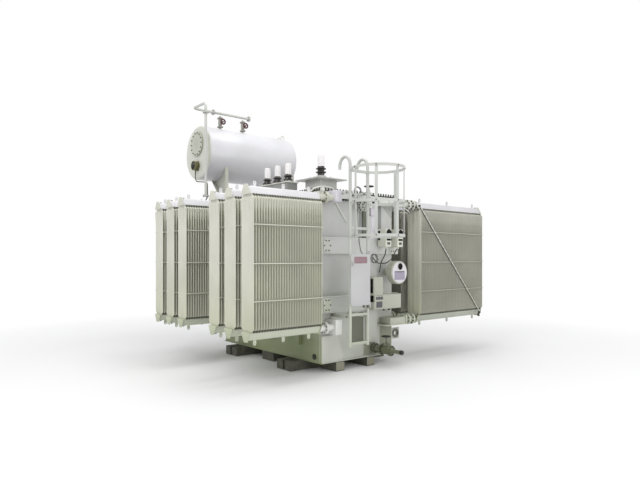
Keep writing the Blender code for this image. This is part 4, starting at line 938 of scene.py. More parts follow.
DRUM_LOW, DRUM_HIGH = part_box("conservator")
DRUM_START = DRUM_LOW[0]
DRUM_END = DRUM_HIGH[0]
DRUM_LENGTH = DRUM_END - DRUM_START
DRUM_Y = (DRUM_LOW[1] + DRUM_HIGH[1]) / 2
DRUM_Z = (DRUM_LOW[2] + DRUM_HIGH[2]) / 2
DRUM_TOP = DRUM_HIGH[2]
END_COVER_Z = DRUM_Z + 0.18
GAUGE_Z = DRUM_Z - 0.27
DROP_X = DRUM_START - 0.094          # the air pipe where it runs down
DROP_Y = DRUM_Y - 0.536
RELAY_X = DRUM_START + 0.65 * DRUM_LENGTH
RELAY_FOOT_Y = WALL_Y - 0.32
RELAY_BEND = COVER_TOP + 0.30


def make_drum():
    """Drum with a rounded near edge and a dished far end; its flat end has a darker, duller coat as painted
    shade.
    """
    radius = DRUM_TOP - DRUM_Z
    profile = [(0.0, 0.0), (0.488, 0.0), (0.512, 0.003), (0.532, 0.012), (0.545, 0.027), (radius, 0.048)]
    dish = ((radius, 0.13), (0.546, 0.085), (0.53, 0.045), (0.50, 0.02), (0.42, 0.006), (0.25, 0.0),
            (0.0, 0.0))
    profile += [(width, DRUM_LENGTH - depth) for width, depth in dish]
    drum = lathed_piece("conservator_drum", profile, (DRUM_START, DRUM_Y, DRUM_Z), DRUM_PAINT, (1, 0, 0), 72,
                        replaces=("conservator",))
    # The flat end faces take the darker coat as painted shade
    drum.data.materials.append(DRUM_END_SHADE_PAINT)
    for face in drum.data.polygons:
        if face.center.x < DRUM_START + 0.02:
            face.material_index = 1


def make_end_cover(nuts):
    """Bolted cover with the slit of its gasket."""
    lathed_piece("conservator_end_disc",
                 [(0.25, 0.0), (0.25, 0.013), (0.243, 0.0135), (0.243, 0.016), (0.25, 0.0165), (0.25, 0.028),
                  (0.247, 0.031), (0.0, 0.031)],
                 (DRUM_START, DRUM_Y, END_COVER_Z), DISC_PAINT, (-1, 0, 0), 56,
                 replaces=("conservator_end_cover",))
    bolt_circle(nuts, (DRUM_START - 0.031, DRUM_Y, END_COVER_Z), (-1, 0, 0), 0.222, 14, 0.014)


def make_gauge(nuts):
    """Oil gauge: flanged brass rim with a dark dial, bolted on."""
    x, y, z = DRUM_START, DRUM_Y, GAUGE_Z
    middle = (x, y, z)
    profile = [(0.094, 0.0), (0.094, 0.022), (0.072, 0.026), (0.072, 0.066), (0.096, 0.070), (0.098, 0.098),
               (0.094, 0.104), (0.083, 0.104), (0.080, 0.096), (0.0, 0.096)]
    lathed_piece("gauge_rim", profile, middle, BRASS, (-1, 0, 0), 40, replaces=("oil_level_gauge",))
    dial = bmesh.new()
    lathe(dial, [(0.079, 0.0965), (0.079, 0.0985), (0.0, 0.0985)], middle, (-1, 0, 0), 40)
    rod(dial, (x - 0.098, y, z), (x - 0.104, y, z), 0.012)
    piece("gauge_face", dial, DIAL)
    bolt_circle(nuts, (x - 0.012, y, z), (-1, 0, 0), 0.108, 6, 0.009)


def make_needle_and_conduit():
    """Pale needle of the gauge, and its black conduit down to the air pipe."""
    x, y, z = DRUM_START, DRUM_Y, GAUGE_Z
    needle = bmesh.new()
    prism(needle, [(y - 0.005, z - 0.015), (y + 0.005, z - 0.015), (y + 0.0015, z + 0.058),
                   (y - 0.0015, z + 0.058)], "X", x - 0.102, x - 0.100)
    piece("gauge_needle", needle, CAP_WHITE)
    route = [(x - 0.045, y, z - 0.065), (x - 0.055, y, z - 0.25), (x - 0.06, y - 0.07, z - 0.33),
             (DROP_X + 0.045, DROP_Y + 0.02, z - 0.39), (DROP_X + 0.045, DROP_Y + 0.01, z - 0.68),
             (DROP_X, DROP_Y, z - 0.75)]
    tubes("gauge_conduit", [rounded(route, 0.06)], 0.010, RUBBER)


def make_conservator():
    """Drum, end cover, gauge, and the lifting ring and plug at the far end."""
    nuts, lugs = bmesh.new(), bmesh.new()
    make_drum()
    make_end_cover(nuts)
    make_gauge(nuts)
    piece("conservator_end_bolts", nuts, BOLT_STEEL)
    make_needle_and_conduit()
    ring(lugs, (DRUM_END - 0.05, DRUM_Y, DRUM_TOP + 0.055), (0, 1, 0), 0.042, 0.011, 24, 8)
    block(lugs, (DRUM_END - 0.05, DRUM_Y, DRUM_TOP - 0.004), (0.04, 0.05, 0.016))
    lathe(lugs, [(0.0, 0.05), (0.018, 0.05), (0.018, 0.02), (0.03, 0.018), (0.03, -0.01)],
          (DRUM_END - 0.15, DRUM_Y, DRUM_TOP))
    piece("conservator_lugs", lugs, FITTING_PAINT)


def handwheel(node, place, axis, radius, material, hub=0.019, rim=0.010):
    """Wheel with four spokes and a round rim, on the body that turns with it."""
    bm = bmesh.new()
    ring(bm, place, axis, radius - rim, rim, 40, 10)
    axis, spokes = Vector(axis), 4
    rod(bm, Vector(place) - axis * 0.019, Vector(place) + axis * 0.019, hub, bevel=0.003)
    turn = axis.to_track_quat("Z", "Y").to_matrix()
    for index in range(spokes):
        angle = math.tau * (index + 0.25) / spokes
        spoke = turn @ Vector((math.cos(angle), math.sin(angle), 0)) * (radius - 0.011)
        rod(bm, place, Vector(place) + spoke, hub * 0.3, sides=10, end_radius=hub * 0.25)
    body = node.replace("_wheel", "_handwheel")
    piece(node.replace("_valve", ""), bm, material, body=body, replaces=(node,))


def make_air_pipe(discs, nuts):
    """Pipe over the drum and down beside its end, with small flanges."""
    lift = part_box("air_pipe")[1][2] - 0.03
    bottom = lift - 1.845
    end_x, joint_x = DRUM_START + 0.567 * DRUM_LENGTH, DRUM_START + 0.163 * DRUM_LENGTH
    route = [(end_x, DRUM_Y, lift), (DROP_X, DRUM_Y, lift), (DROP_X, DROP_Y, lift), (DROP_X, DROP_Y, bottom)]
    tubes("air_pipe_run", [rounded(route, 0.10)], 0.026, PIPE_PAINT, replaces=("air_pipe",), sides=5)
    for x in (joint_x, end_x - 0.014):
        flanges(discs, nuts, (x, DRUM_Y, lift), (1, 0, 0), 0.06, 0.012, 4, 0.009)
    for z in (lift - 0.19, bottom + 0.016):
        flanges(discs, nuts, (DROP_X, DROP_Y, z), (0, 0, 1), 0.06, 0.012, 4, 0.009)


def make_filling_valves(valves, nuts):
    """Two flanged valves on top of the drum, with their wheels towards the ladder side."""
    height = DRUM_TOP + 0.15
    # Bonnet flange, waist and foot flange
    profile = [(0.0, 0.285), (0.024, 0.285), (0.024, 0.252), (0.060, 0.251), (0.061, 0.249), (0.061, 0.234),
               (0.030, 0.232), (0.038, 0.205), (0.041, 0.15), (0.038, 0.095), (0.030, 0.068),
               (0.061, 0.067), (0.061, 0.051), (0.024, 0.049), (0.024, -0.01)]
    for number, share in enumerate((0.238, 0.491), start=1):
        x = DRUM_START + share * DRUM_LENGTH
        lathe(valves, profile, (x, DRUM_Y, DRUM_TOP), steps=28)
        for rise, up, size in ((0.067, 1, 0.011), (0.251, 1, 0.011), (0.051, -1, 0.010), (0.234, -1, 0.010)):
            bolt_circle(nuts, (x, DRUM_Y, DRUM_TOP + rise), (0, 0, up), 0.048, 4, size, 0.5)
        rod(valves, (x, DRUM_Y, height), (x, DRUM_Y - 0.105, height), 0.017, sides=18)
        rod(valves, (x, DRUM_Y - 0.05, height), (x, DRUM_Y - 0.068, height), 0.03, sides=18, bevel=0.002)
        handwheel(f"filling_valve_wheel_{number}", (x, DRUM_Y - 0.1253, height), (0, -1, 0), 0.064, MAROON,
                  hub=0.012, rim=0.016)


def make_relay():
    """Pipe from the drum to the cover, with the relay between two flanged joints."""
    x, y, z = RELAY_X, (RELAY_FOOT_Y + DRUM_Y) / 2, RELAY_BEND
    route = [(x, RELAY_FOOT_Y, COVER_TOP), (x, RELAY_FOOT_Y, z), (x, DRUM_Y, z + 0.05),
             (x, DRUM_Y, DRUM_LOW[2] + 0.02)]
    tubes("relay_pipe_run", [rounded(route, 0.10)], 0.045, DRUM_PAINT, replaces=("relay_pipe",), sides=5)
    case, nuts, glass, foot = bmesh.new(), bmesh.new(), bmesh.new(), bmesh.new()
    box(case, (x - 0.075, y - 0.085, z - 0.09), (x + 0.075, y + 0.085, z + 0.12), bevel=0.015, segments=3)
    box(case, (x - 0.095, y - 0.10, z + 0.09), (x + 0.095, y + 0.10, z + 0.11))
    for side in (-1, 1):
        flanges(case, nuts, (x, y + side * 0.13, z + 0.025), (0, 1, 0.06), 0.085, 0.014, 6, 0.010)
        for across in (-0.085, 0.085):
            bolt(nuts, (x + side * 0.08, y + across, z + 0.11), (0, 0, 1), 0.010)
        block(glass, (x + side * 0.077, y, z + 0.005), (0.003, 0.05, 0.045), bevel=0.002)
    piece("relay_case", case, FITTING_PAINT)
    piece("relay_windows", glass, DIAL)
    flanges(foot, nuts, (x, RELAY_FOOT_Y, COVER_TOP + 0.018), (0, 0, 1), 0.08, 0.014, 6, 0.010)
    piece("relay_foot_flange", foot, FITTING_PAINT)
    piece("relay_bolts", nuts, BOLT_STEEL)


def make_drum_pipes():
    """Air pipe, filling valves and relay of the drum, and the bolts of its saddles' feet."""
    discs, valves, nuts, foot_bolts = bmesh.new(), bmesh.new(), bmesh.new(), bmesh.new()
    make_air_pipe(discs, nuts)
    make_filling_valves(valves, nuts)
    piece("drum_pipe_joints", discs, PIPE_PAINT)
    piece("filling_valve_bodies", valves, DRUM_VALVE_PAINT, replaces=("filling_valve_1", "filling_valve_2"))
    piece("drum_pipe_bolts", nuts, BOLT_STEEL)
    make_relay()
    for x in (-WALL_X, WALL_X):
        for across in (-0.055, 0.055):
            for back in (0.06, 0.27):
                bolt(foot_bolts, (x + across, RIM_Y - back, COVER_TOP + 0.02), (0, 0, 1), 0.013)
    piece("saddle_bolts", foot_bolts, BOLT_STEEL)


# Bushings

def insulator(name, place, sheds, cap, count, radius, size):
    """Dark glazed sheds under a pale cap, on a ring of studs."""
    lathed_piece(f"{name}_sheds", sheds, place, PORCELAIN, steps=40, replaces=(name,))
    lathed_piece(f"{name}_cap", cap, place, CAP_WHITE, steps=40)
    nuts = bmesh.new()
    bolt_circle(nuts, (place[0], place[1], place[2] + 0.02), (0, 0, 1), radius, count, size, stud=size)
    piece(f"{name}_studs", nuts, BOLT_STEEL)


def make_large_bushing():
    """Square turret with a flange plate, and the large bushing on it."""
    low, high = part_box("large_bushing_turret")
    x, y, top = (low[0] + high[0]) / 2, (low[1] + high[1]) / 2, high[2]
    turret, studs = bmesh.new(), bmesh.new()
    box(turret, (x - 0.20, y - 0.20, COVER_TOP), (x + 0.20, y + 0.20, top - 0.01), bevel=0.006)
    box(turret, (low[0], low[1], top - 0.018), (high[0], high[1], top), bevel=0.003)
    lathe(turret, [(0.145, 0.0), (0.145, 0.018), (0.142, 0.021), (0.098, 0.021), (0.09, 0.05), (0.085, 0.072),
                   (0.0, 0.072)], (x, y, top), steps=40)
    piece("large_turret", turret, TURRET_PAINT, replaces=("large_bushing_turret",))
    sheds = [(0.062, 0.06), (0.062, 0.11), (0.070, 0.116), (0.092, 0.126), (0.095, 0.135), (0.090, 0.146),
             (0.066, 0.156), (0.060, 0.163), (0.060, 0.176), (0.068, 0.182), (0.092, 0.190), (0.095, 0.198),
             (0.090, 0.208), (0.066, 0.220), (0.060, 0.236), (0.060, 0.242), (0.0, 0.242)]
    cap = [(0.066, 0.240), (0.066, 0.252), (0.062, 0.256), (0.060, 0.42), (0.056, 0.438), (0.044, 0.448),
           (0.0, 0.45)]
    insulator("large_bushing", (x, y, top), sheds, cap, 12, 0.122, 0.011)
    bolt_circle(studs, (x, y, top), (0, 0, 1), 0.21, 12, 0.017, 0.5, stud=0.024)
    piece("large_turret_studs", studs, PIPE_PAINT)


def make_small_bushings():
    """Long low turret with ribs, and the three small bushings in line on it."""
    low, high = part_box("small_bushing_turret")
    x, y, top = (low[0] + high[0]) / 2, (low[1] + high[1]) / 2, high[2]
    turret, walls, nuts = bmesh.new(), bmesh.new(), bmesh.new()
    box(walls, (low[0] + 0.02, low[1] + 0.02, COVER_TOP), (high[0] - 0.02, high[1] - 0.02, top - 0.01),
        bevel=0.006)
    for rib_x in (low[0] + 0.012, high[0] - 0.024):
        for rib_y in (low[1] + 0.16, y, high[1] - 0.16):
            box(walls, (rib_x, rib_y - 0.006, COVER_TOP), (rib_x + 0.012, rib_y + 0.006, top - 0.018),
                bevel=0.002)
    piece("small_turret_walls", walls, LOW_TURRET_AND_WALL_SHADE_PAINT)
    box(turret, (low[0], low[1], top - 0.018), (high[0], high[1], top), bevel=0.003)
    sheds = [(0.060, 0.02), (0.060, 0.030), (0.080, 0.038), (0.086, 0.048), (0.082, 0.062), (0.064, 0.072),
             (0.060, 0.084), (0.064, 0.094), (0.082, 0.102), (0.086, 0.112), (0.080, 0.126), (0.062, 0.138),
             (0.056, 0.150), (0.0, 0.150)]
    cap = [(0.060, 0.148), (0.060, 0.158), (0.057, 0.162), (0.055, 0.325), (0.049, 0.343), (0.035, 0.35),
           (0.0, 0.35)]
    for number in (1, 2, 3):
        near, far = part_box(f"small_bushing_{number}")
        spot = ((near[0] + far[0]) / 2, (near[1] + far[1]) / 2, top)
        lathe(turret, [(0.105, 0.0), (0.105, 0.014), (0.075, 0.018), (0.07, 0.03), (0.0, 0.03)], spot)
        insulator(f"small_bushing_{number}", spot, sheds, cap, 8, 0.09, 0.009)
    for spot in edge_spots((high[0] - low[0]) / 2 - 0.014, (high[1] - low[1]) / 2 - 0.014, 0.115):
        bolt(nuts, (x + spot.x, y + spot.y, top), (0, 0, 1), 0.009)
    piece("small_turret", turret, FITTING_PAINT, replaces=("small_bushing_turret",))
    piece("small_turret_bolts", nuts, BOLT_STEEL)


# Ladder, cage and guard

RAIL_FOOT = 0.455
RAIL_BEND = 3.31
HOOK_REACH = 0.245
RUNG_PITCH = 0.455
CAGE_X = (LADDER_LEFT + LADDER_RIGHT) / 2
CAGE_Y = LADDER_Y - 0.424
HOOP_TOP = 3.22
HOOP_PITCH = 0.515
HOOP_OUTSIDE = 0.408
HOOP_INSIDE = 0.398
CAGE_BARS = (-105, -50, 0, 50, 92)      # degrees from the middle of the hoops
GUARD_LEFT = HINGE_X - 0.425
GUARD_BOTTOM = 1.10
GUARD_TOP = 1.915
GUARD_FACE = HINGE_Y - 0.006


def make_ladder():
    """Tubular rails that end in round hooks, flat rungs and bolted standoffs."""
    routes, steps = [], 16
    for x in (LADDER_LEFT, LADDER_RIGHT):
        route = [(x, LADDER_Y, RAIL_FOOT)]
        for index in range(steps + 1):
            angle = math.pi * index / steps
            back = HOOK_REACH / 2 * (1 - math.cos(angle))
            route.append((x, LADDER_Y + back, RAIL_BEND + 0.145 * math.sin(angle)))
        routes.append([*route, (x, LADDER_Y + HOOK_REACH, 3.27)])
    tubes("ladder_rails", routes, 0.025, LADDER_PAINT, replaces=("ladder",), sides=4)
    bars, nuts = bmesh.new(), bmesh.new()
    for index in range(7):
        z = 0.50 + RUNG_PITCH * index
        box(bars, (LADDER_LEFT, LADDER_Y - 0.014, z - 0.022), (LADDER_RIGHT, LADDER_Y + 0.014, z + 0.022),
            bevel=0.006)
    for z, depth in ((0.925, 0.0), (2.888, 0.09)):
        wall = FRONT_WALL - depth
        for x in (LADDER_LEFT, LADDER_RIGHT):
            box(bars, (x - 0.008, LADDER_Y, z - 0.028), (x + 0.008, wall, z + 0.028), bevel=0.002)
            box(bars, (x - 0.045, wall - 0.012, z - 0.04), (x + 0.045, wall, z + 0.04), bevel=0.003)
            bolt(nuts, (x + 0.027, wall - 0.012, z), (0, -1, 0), 0.012)
            bolt(nuts, (x - 0.027, wall - 0.012, z), (0, -1, 0), 0.012)
            bolt(nuts, (x - 0.008, LADDER_Y + 0.07, z), (-1, 0, 0), 0.012)
    for z in (GUARD_BOTTOM - 0.0463, GUARD_TOP + 0.0463):
        box(bars, (LADDER_RIGHT, HINGE_Y - 0.012, z - 0.006), (HINGE_X + 0.012, LADDER_Y, z + 0.006),
            bevel=0.002)
    piece("ladder_rungs", bars, LADDER_PAINT)
    piece("ladder_bolts", nuts, BOLT_STEEL)


def hoop(bars, z):
    """Flat hoop with both ends on the ladder's rails."""
    sweep, steps = math.pi - math.asin(0.191 / 0.403), 40
    outer, inner = [(LADDER_LEFT - 0.005, LADDER_Y - 0.03)], [(LADDER_LEFT + 0.005, LADDER_Y - 0.03)]
    for index in range(steps + 1):
        angle = sweep * (2 * index / steps - 1)
        for row, radius in ((outer, HOOP_OUTSIDE), (inner, HOOP_INSIDE)):
            row.append((CAGE_X + radius * math.sin(angle), CAGE_Y - radius * math.cos(angle)))
    outer.append((LADDER_RIGHT + 0.005, LADDER_Y - 0.03))
    inner.append((LADDER_RIGHT - 0.005, LADDER_Y - 0.03))
    prism(bars, outer + inner[::-1], "Z", z - 0.02, z + 0.02)


def make_cage():
    """Flat hoops and upright bars, bolted where they cross."""
    bars, nuts = bmesh.new(), bmesh.new()
    levels = [HOOP_TOP - level * HOOP_PITCH for level in range(3)]
    half = Vector((0.023, 0.005, 0.525))
    for z in levels:
        hoop(bars, z)
    for degrees in CAGE_BARS:
        angle = math.radians(degrees)
        out = Vector((math.sin(angle), -math.cos(angle), 0))
        spot = Vector((CAGE_X, CAGE_Y, levels[1])) + out * 0.393
        box(bars, spot - half, spot + half, bevel=0.002, turn=Matrix.Rotation(angle, 4, "Z"))
        for z in levels:
            bolt(nuts, Vector((CAGE_X, CAGE_Y, z)) + out * HOOP_OUTSIDE, out, 0.009)
    piece("cage_bars", bars, LADDER_PAINT, replaces=("ladder_cage",), smooth=25.0)
    piece("cage_bolts", nuts, BOLT_STEEL)


def guard_outline():
    """Guard plate with rounded corners."""
    right, radius, steps = HINGE_X - 0.001, 0.035, 5
    left, low, high = GUARD_LEFT + radius, GUARD_BOTTOM + radius, GUARD_TOP - radius
    right -= radius
    outline = []
    for quarter, (x, z) in enumerate(((right, high), (left, high), (left, low), (right, low))):
        for step in range(steps + 1):
            angle = math.pi / 2 * (quarter + step / steps)
            outline.append((x + radius * math.cos(angle), z + radius * math.sin(angle)))
    return outline


def make_guard():
    """Hinged plate with a blank sign plate, a catch with a ring through it, and clamps at its foot."""
    plate, sign, catch, clamps = bmesh.new(), bmesh.new(), bmesh.new(), bmesh.new()
    prism(plate, guard_outline(), "Y", GUARD_FACE, HINGE_Y + 0.006, bevel=0.002)
    for z in (GUARD_BOTTOM, GUARD_TOP):
        rod(plate, (HINGE_X, HINGE_Y, z - 0.04), (HINGE_X, HINGE_Y, z + 0.04), 0.012, bevel=0.002)
    block(plate, (GUARD_LEFT + 0.0325, HINGE_Y - 0.009, 1.805), (0.0225, 0.003, 0.025), bevel=0.002)
    piece("guard_plate", plate, GUARD_PAINT, body="guard", replaces=("ladder_guard",))
    prism(sign, octagon((-0.3855, 1.8195), 0.1405, 0.0525, 0.008), "Y", HINGE_Y - 0.009, GUARD_FACE,
          bevel=0.001)
    for z in (1.785, 1.854):
        box(sign, (-0.515, HINGE_Y - 0.0105, z - 0.004), (-0.256, HINGE_Y - 0.008, z + 0.004), bevel=0.001)
    piece("guard_sign_plate", sign, ROSE_PLATE, body="guard")
    ring(catch, (GUARD_LEFT + 0.03, HINGE_Y - 0.018, 1.785), (1, 0, 0), 0.016, 0.004, 20, 8)
    box(catch, (GUARD_LEFT + 0.015, HINGE_Y - 0.026, 1.735), (GUARD_LEFT + 0.045, HINGE_Y - 0.012, 1.768))
    for x in (-0.51, -0.26):
        for z in (1.782, 1.857):
            rod(catch, (x, HINGE_Y - 0.009, z), (x, HINGE_Y - 0.012, z), 0.005, sides=10)
    piece("guard_catch", catch, RIM_METAL, body="guard")
    for left, right, bottom in ((-0.33, -0.30, 1.065), (-0.235, -0.215, 1.058)):
        box(clamps, (left, HINGE_Y - 0.010, bottom), (right, HINGE_Y + 0.008, GUARD_BOTTOM), bevel=0.003)
    piece("guard_clamps", clamps, DARK_STEEL, body="guard")


# Instruments

INDICATOR_FACE = FRONT_WALL - 0.305
INDICATOR_SPOTS = (0.44, 0.735)
MONITOR_FRONT = FRONT_WALL - 0.335
MONITOR_X = 0.675
MONITOR_Z = 1.60
BOX_BACK = FRONT_WALL - BAND_DEPTH
BOX_FRONT = BOX_BACK - 0.17
LEAD_Y = FRONT_WALL - 0.22


def make_indicators(glass, rims, plates):
    """Two temperature indicators with a round dial, a slot, a plate, a gland and ribs on the side."""
    cases = bmesh.new()
    face = INDICATOR_FACE
    for x in INDICATOR_SPOTS:
        box(cases, (x - 0.07, face, 2.04), (x + 0.07, face + 0.20, 2.35), bevel=0.014, segments=3)
        box(cases, (x - 0.02, face + 0.1, 2.07), (x + 0.02, FRONT_WALL - BAND_DEPTH, 2.13))
        rod(cases, (x, face + 0.06, 2.05), (x, face + 0.06, 2.01), 0.018)
        lathe(glass, [(0.0, 0.005), (0.060, 0.005), (0.060, 0.0)], (x, face - 0.002, 2.282), (0, -1, 0), 32)
        ring(rims, (x, face - 0.003, 2.282), (0, 1, 0), 0.062, 0.004, 32, 8)
        box(glass, (x - 0.052, face - 0.004, 2.148), (x + 0.052, face, 2.182), bevel=0.002)
        box(plates, (x - 0.036, face - 0.003, 2.078), (x + 0.034, face, 2.122), bevel=0.001)
        for z, size in ((2.29, 0.030), (2.215, 0.016), (2.175, 0.02)):
            box(glass, (x - 0.073, face + 0.135, z - size), (x - 0.068, face + 0.185, z + size), bevel=0.002)
    piece("indicator_cases", cases, INDICATOR_PAINT,
          replaces=("temperature_indicator_1", "temperature_indicator_2"))


def make_monitor(glass, rims, plates):
    """Round oil monitor: deep drum on a stub, white face with one small dial, blank plates."""
    x, y, z = MONITOR_X, MONITOR_FRONT, MONITOR_Z
    drum, lilac = bmesh.new(), bmesh.new()
    lathe(drum, [(0.0, -0.005), (0.182, -0.005), (0.185, 0.0), (0.196, 0.001), (0.20, 0.006), (0.20, 0.125),
                 (0.19, 0.135), (0.0, 0.135)], (x, y, z), (0, 1, 0), 56)
    rod(drum, (x, y + 0.10, z), (x, FRONT_WALL, z), 0.06, sides=24)
    piece("monitor_drum", drum, CASE_PAINT, replaces=("oil_monitor",))
    lathed_piece("monitor_face", [(0.0, 0.007), (0.180, 0.007), (0.181, 0.005)], (x, y, z), MONITOR_FACE,
                 (0, -1, 0), 56)
    dial = (x + 0.012, z + 0.105)
    lathe(glass, [(0.0, 0.011), (0.056, 0.011), (0.058, 0.006)], (dial[0], y, dial[1]), (0, -1, 0), 32)
    ring(rims, (dial[0], y - 0.009, dial[1]), (0, 1, 0), 0.060, 0.004, 32, 8)
    prism(lilac, octagon((0.6725, 1.5425), 0.1275, 0.0675, 0.008), "Y", y - 0.010, y - 0.006, bevel=0.001)
    piece("monitor_plate", lilac, LILAC_PLATE)
    box(plates, (0.55, y - 0.011, 1.606), (0.795, y - 0.006, 1.622), bevel=0.001)
    for across in (-0.1634, 0.1634):
        rod(rims, (x + across, y - 0.004, z - 0.1), (x + across, y + 0.002, z - 0.1), 0.008)


def make_terminal_box(glass, plates):
    """Low box with a taller one on its left, two doors, blank plates and three glands."""
    case = bmesh.new()
    for left, right, bottom, top in ((0.13, 0.81, 0.98, 1.23), (0.13, 0.36, 1.10, 1.53)):
        box(case, (left, BOX_FRONT, bottom), (right, BOX_BACK, top), bevel=0.010, segments=3)
    for left, right, bottom, top in ((0.145, 0.795, 0.995, 1.215), (0.145, 0.345, 1.25, 1.515)):
        box(case, (left, BOX_FRONT - 0.004, bottom), (right, BOX_FRONT, top), bevel=0.003)
    piece("terminal_box_case", case, CASE_PAINT, replaces=("terminal_box",))
    for left, right in ((0.175, 0.222), (0.228, 0.276), (0.284, 0.345)):
        box(plates, (left, BOX_FRONT - 0.008, 1.146), (right, BOX_FRONT - 0.004, 1.196), bevel=0.002)
    box(plates, (0.186, BOX_FRONT - 0.008, 1.013), (0.331, BOX_FRONT - 0.004, 1.116))
    box(glass, (0.126, BOX_FRONT + 0.02, 1.26), (0.131, BOX_BACK - 0.02, 1.50), bevel=0.001)
    for x in (0.45, 0.58, 0.70):
        gland = bmesh.new()
        rod(gland, (x, BOX_FRONT + 0.08, 0.985), (x, BOX_FRONT + 0.08, 0.945), 0.018, bevel=0.002)
        piece(f"box_gland_{round(x * 100)}", gland, DARK_STEEL)


def make_leads():
    """Black leads of the indicators, and the thin tube from the cover that ends in a hung coil."""
    y, wall = LEAD_Y, FRONT_WALL
    right = [(0.735, wall - 0.245, 2.02), (0.69, y, 1.96), (0.63, y, 1.85), (0.47, y, 1.755),
             (0.24, y, 1.765), (0.20, y + 0.06, 1.86)]
    left = [(0.44, wall - 0.245, 2.02), (0.44, y, 1.90), (0.40, y + 0.05, 1.80), (0.40, wall - 0.12, 1.60)]
    tubes("instrument_leads", [rounded(right, 0.10), rounded(left, 0.08)], 0.009, RUBBER)
    drop = [(-0.108, wall - 0.098, 2.98), (-0.10, wall - 0.10, 2.75), (-0.067, wall - 0.095, 2.19),
            (-0.004, wall - 0.09, 1.92), (0.17, wall - 0.10, 1.86)]
    coil, steps, turns = [], 24, 3
    for index in range(steps * turns + 1):
        angle = math.tau * index / steps
        coil.append((0.251 + 0.07 * math.cos(angle), wall - 0.12 - 0.0008 * index,
                     1.843 + 0.075 * math.sin(angle)))
    tubes("capillary_tubes", [rounded(drop, 0.15), coil], 0.0045, GREY_TUBE)


def make_instruments():
    """Indicators, monitor and terminal box, whose dials, rims and plates are one piece each."""
    glass, rims, plates = bmesh.new(), bmesh.new(), bmesh.new()
    make_indicators(glass, rims, plates)
    make_monitor(glass, rims, plates)
    make_terminal_box(glass, plates)
    piece("instrument_glass", glass, DIAL)
    piece("instrument_rims", rims, RIM_METAL)
    piece("instrument_plates", plates, GREY_PLATE)
    make_leads()


# Valves on the ladder wall

WHEEL_RADIUS = 0.083
DRAIN_X = 0.38
DRAIN_Z = 0.29
DRAIN_STEM_Y = FRONT_WALL - 0.0003 - 0.675 * 0.444
DRAIN_WHEEL_Z = 0.52
UPPER_X = 0.014
UPPER_Z = 2.72
UPPER_STEM_Y = FRONT_WALL - 0.255
UPPER_WHEEL_Z = 3.04


def wall_flanges(body, nuts, x, z, joints, radius, thick):
    """Flanged joints of a valve: how far each stands from the wall, and its bolts' size."""
    for reach, size in joints:
        flanges(body, nuts, (x, FRONT_WALL - reach, z), (0, 1, 0), radius, thick, 8, size)


def yoke(body, x, y, foot, head):
    """Two legs that lean in from the bonnet to the spindle's nut."""
    for side in (-1, 1):
        rod(body, (x + side * 0.045, y, foot), (x + side * 0.018, y, head), 0.008, sides=12)


def make_drain_valve(nuts):
    """Valve low on the wall, with a tapered outlet and its cap."""
    x, z, stem_y = DRAIN_X, DRAIN_Z, DRAIN_STEM_Y
    body = bmesh.new()
    for near, far, radius, end_radius in ((0.0, 0.42, 0.046, 0.046), (0.42, 0.50, 0.048, 0.034),
                                          (0.50, 0.63, 0.034, 0.034)):
        rod(body, (x, FRONT_WALL - near, z), (x, FRONT_WALL - far, z), radius, 28, end_radius)
    wall_flanges(body, nuts, x, z, ((0.045, 0.012), (0.195, 0.013), (0.405, 0.013)), 0.09, 0.018)
    lathe(body, [(0.05, -0.10), (0.066, -0.06), (0.074, 0.0), (0.066, 0.06), (0.05, 0.10)], (x, stem_y, z),
          (0, 1, 0))
    lathe(body, [(0.058, 0.0), (0.050, 0.07), (0.066, 0.078), (0.066, 0.10), (0.030, 0.102), (0.026, 0.14),
                 (0.016, 0.145), (0.012, 0.205)], (x, stem_y, z), steps=28)
    bolt_circle(nuts, (x, stem_y, z + 0.10), (0, 0, 1), 0.053, 6, 0.010)
    yoke(body, x, stem_y, z + 0.09, z + 0.185)
    rod(body, (x - 0.024, stem_y, z + 0.185), (x + 0.024, stem_y, z + 0.185), 0.010, sides=12)
    piece("drain_valve_body", body, VALVE_PAINT, replaces=("drain_valve",))
    cap = [(0.0, 0.0453), (0.030, 0.0453), (0.038, 0.038), (0.040, 0.0), (0.034, -0.01)]
    lathed_piece("drain_outlet_cap", cap, (x, FRONT_WALL - 0.63, z), BLACK, (0, -1, 0))
    handwheel("drain_valve_wheel", (x, stem_y, DRAIN_WHEEL_Z), (0, 0, 1), WHEEL_RADIUS, BLACK)


def make_upper_valve(nuts):
    """Valve under the rim, beside the ladder, on a longer yoke."""
    x, z, stem_y = UPPER_X, UPPER_Z, UPPER_STEM_Y
    body = bmesh.new()
    rod(body, (x, FRONT_WALL, z), (x, stem_y - 0.04, z), 0.044, sides=28, bevel=0.008)
    wall_flanges(body, nuts, x, z, ((0.06, 0.011), (0.155, 0.011)), 0.085, 0.016)
    lathe(body, [(0.055, -0.045), (0.062, 0.0), (0.055, 0.05), (0.046, 0.09), (0.066, 0.098), (0.066, 0.118),
                 (0.03, 0.12), (0.024, 0.20), (0.015, 0.21), (0.012, 0.295)], (x, stem_y, z), steps=28)
    bolt_circle(nuts, (x, stem_y, z + 0.118), (0, 0, 1), 0.053, 6, 0.010)
    yoke(body, x, stem_y, z + 0.11, z + 0.27)
    piece("upper_valve_body", body, FITTING_PAINT, replaces=("upper_valve",))


def make_valves():
    """Both wall valves, their bolts and the upper wheel."""
    nuts = bmesh.new()
    make_drain_valve(nuts)
    make_upper_valve(nuts)
    piece("valve_bolts", nuts, DARK_STEEL)
    handwheel("upper_valve_wheel", (UPPER_X, UPPER_STEM_Y, UPPER_WHEEL_Z), (0, 0, 1), WHEEL_RADIUS, BLACK)


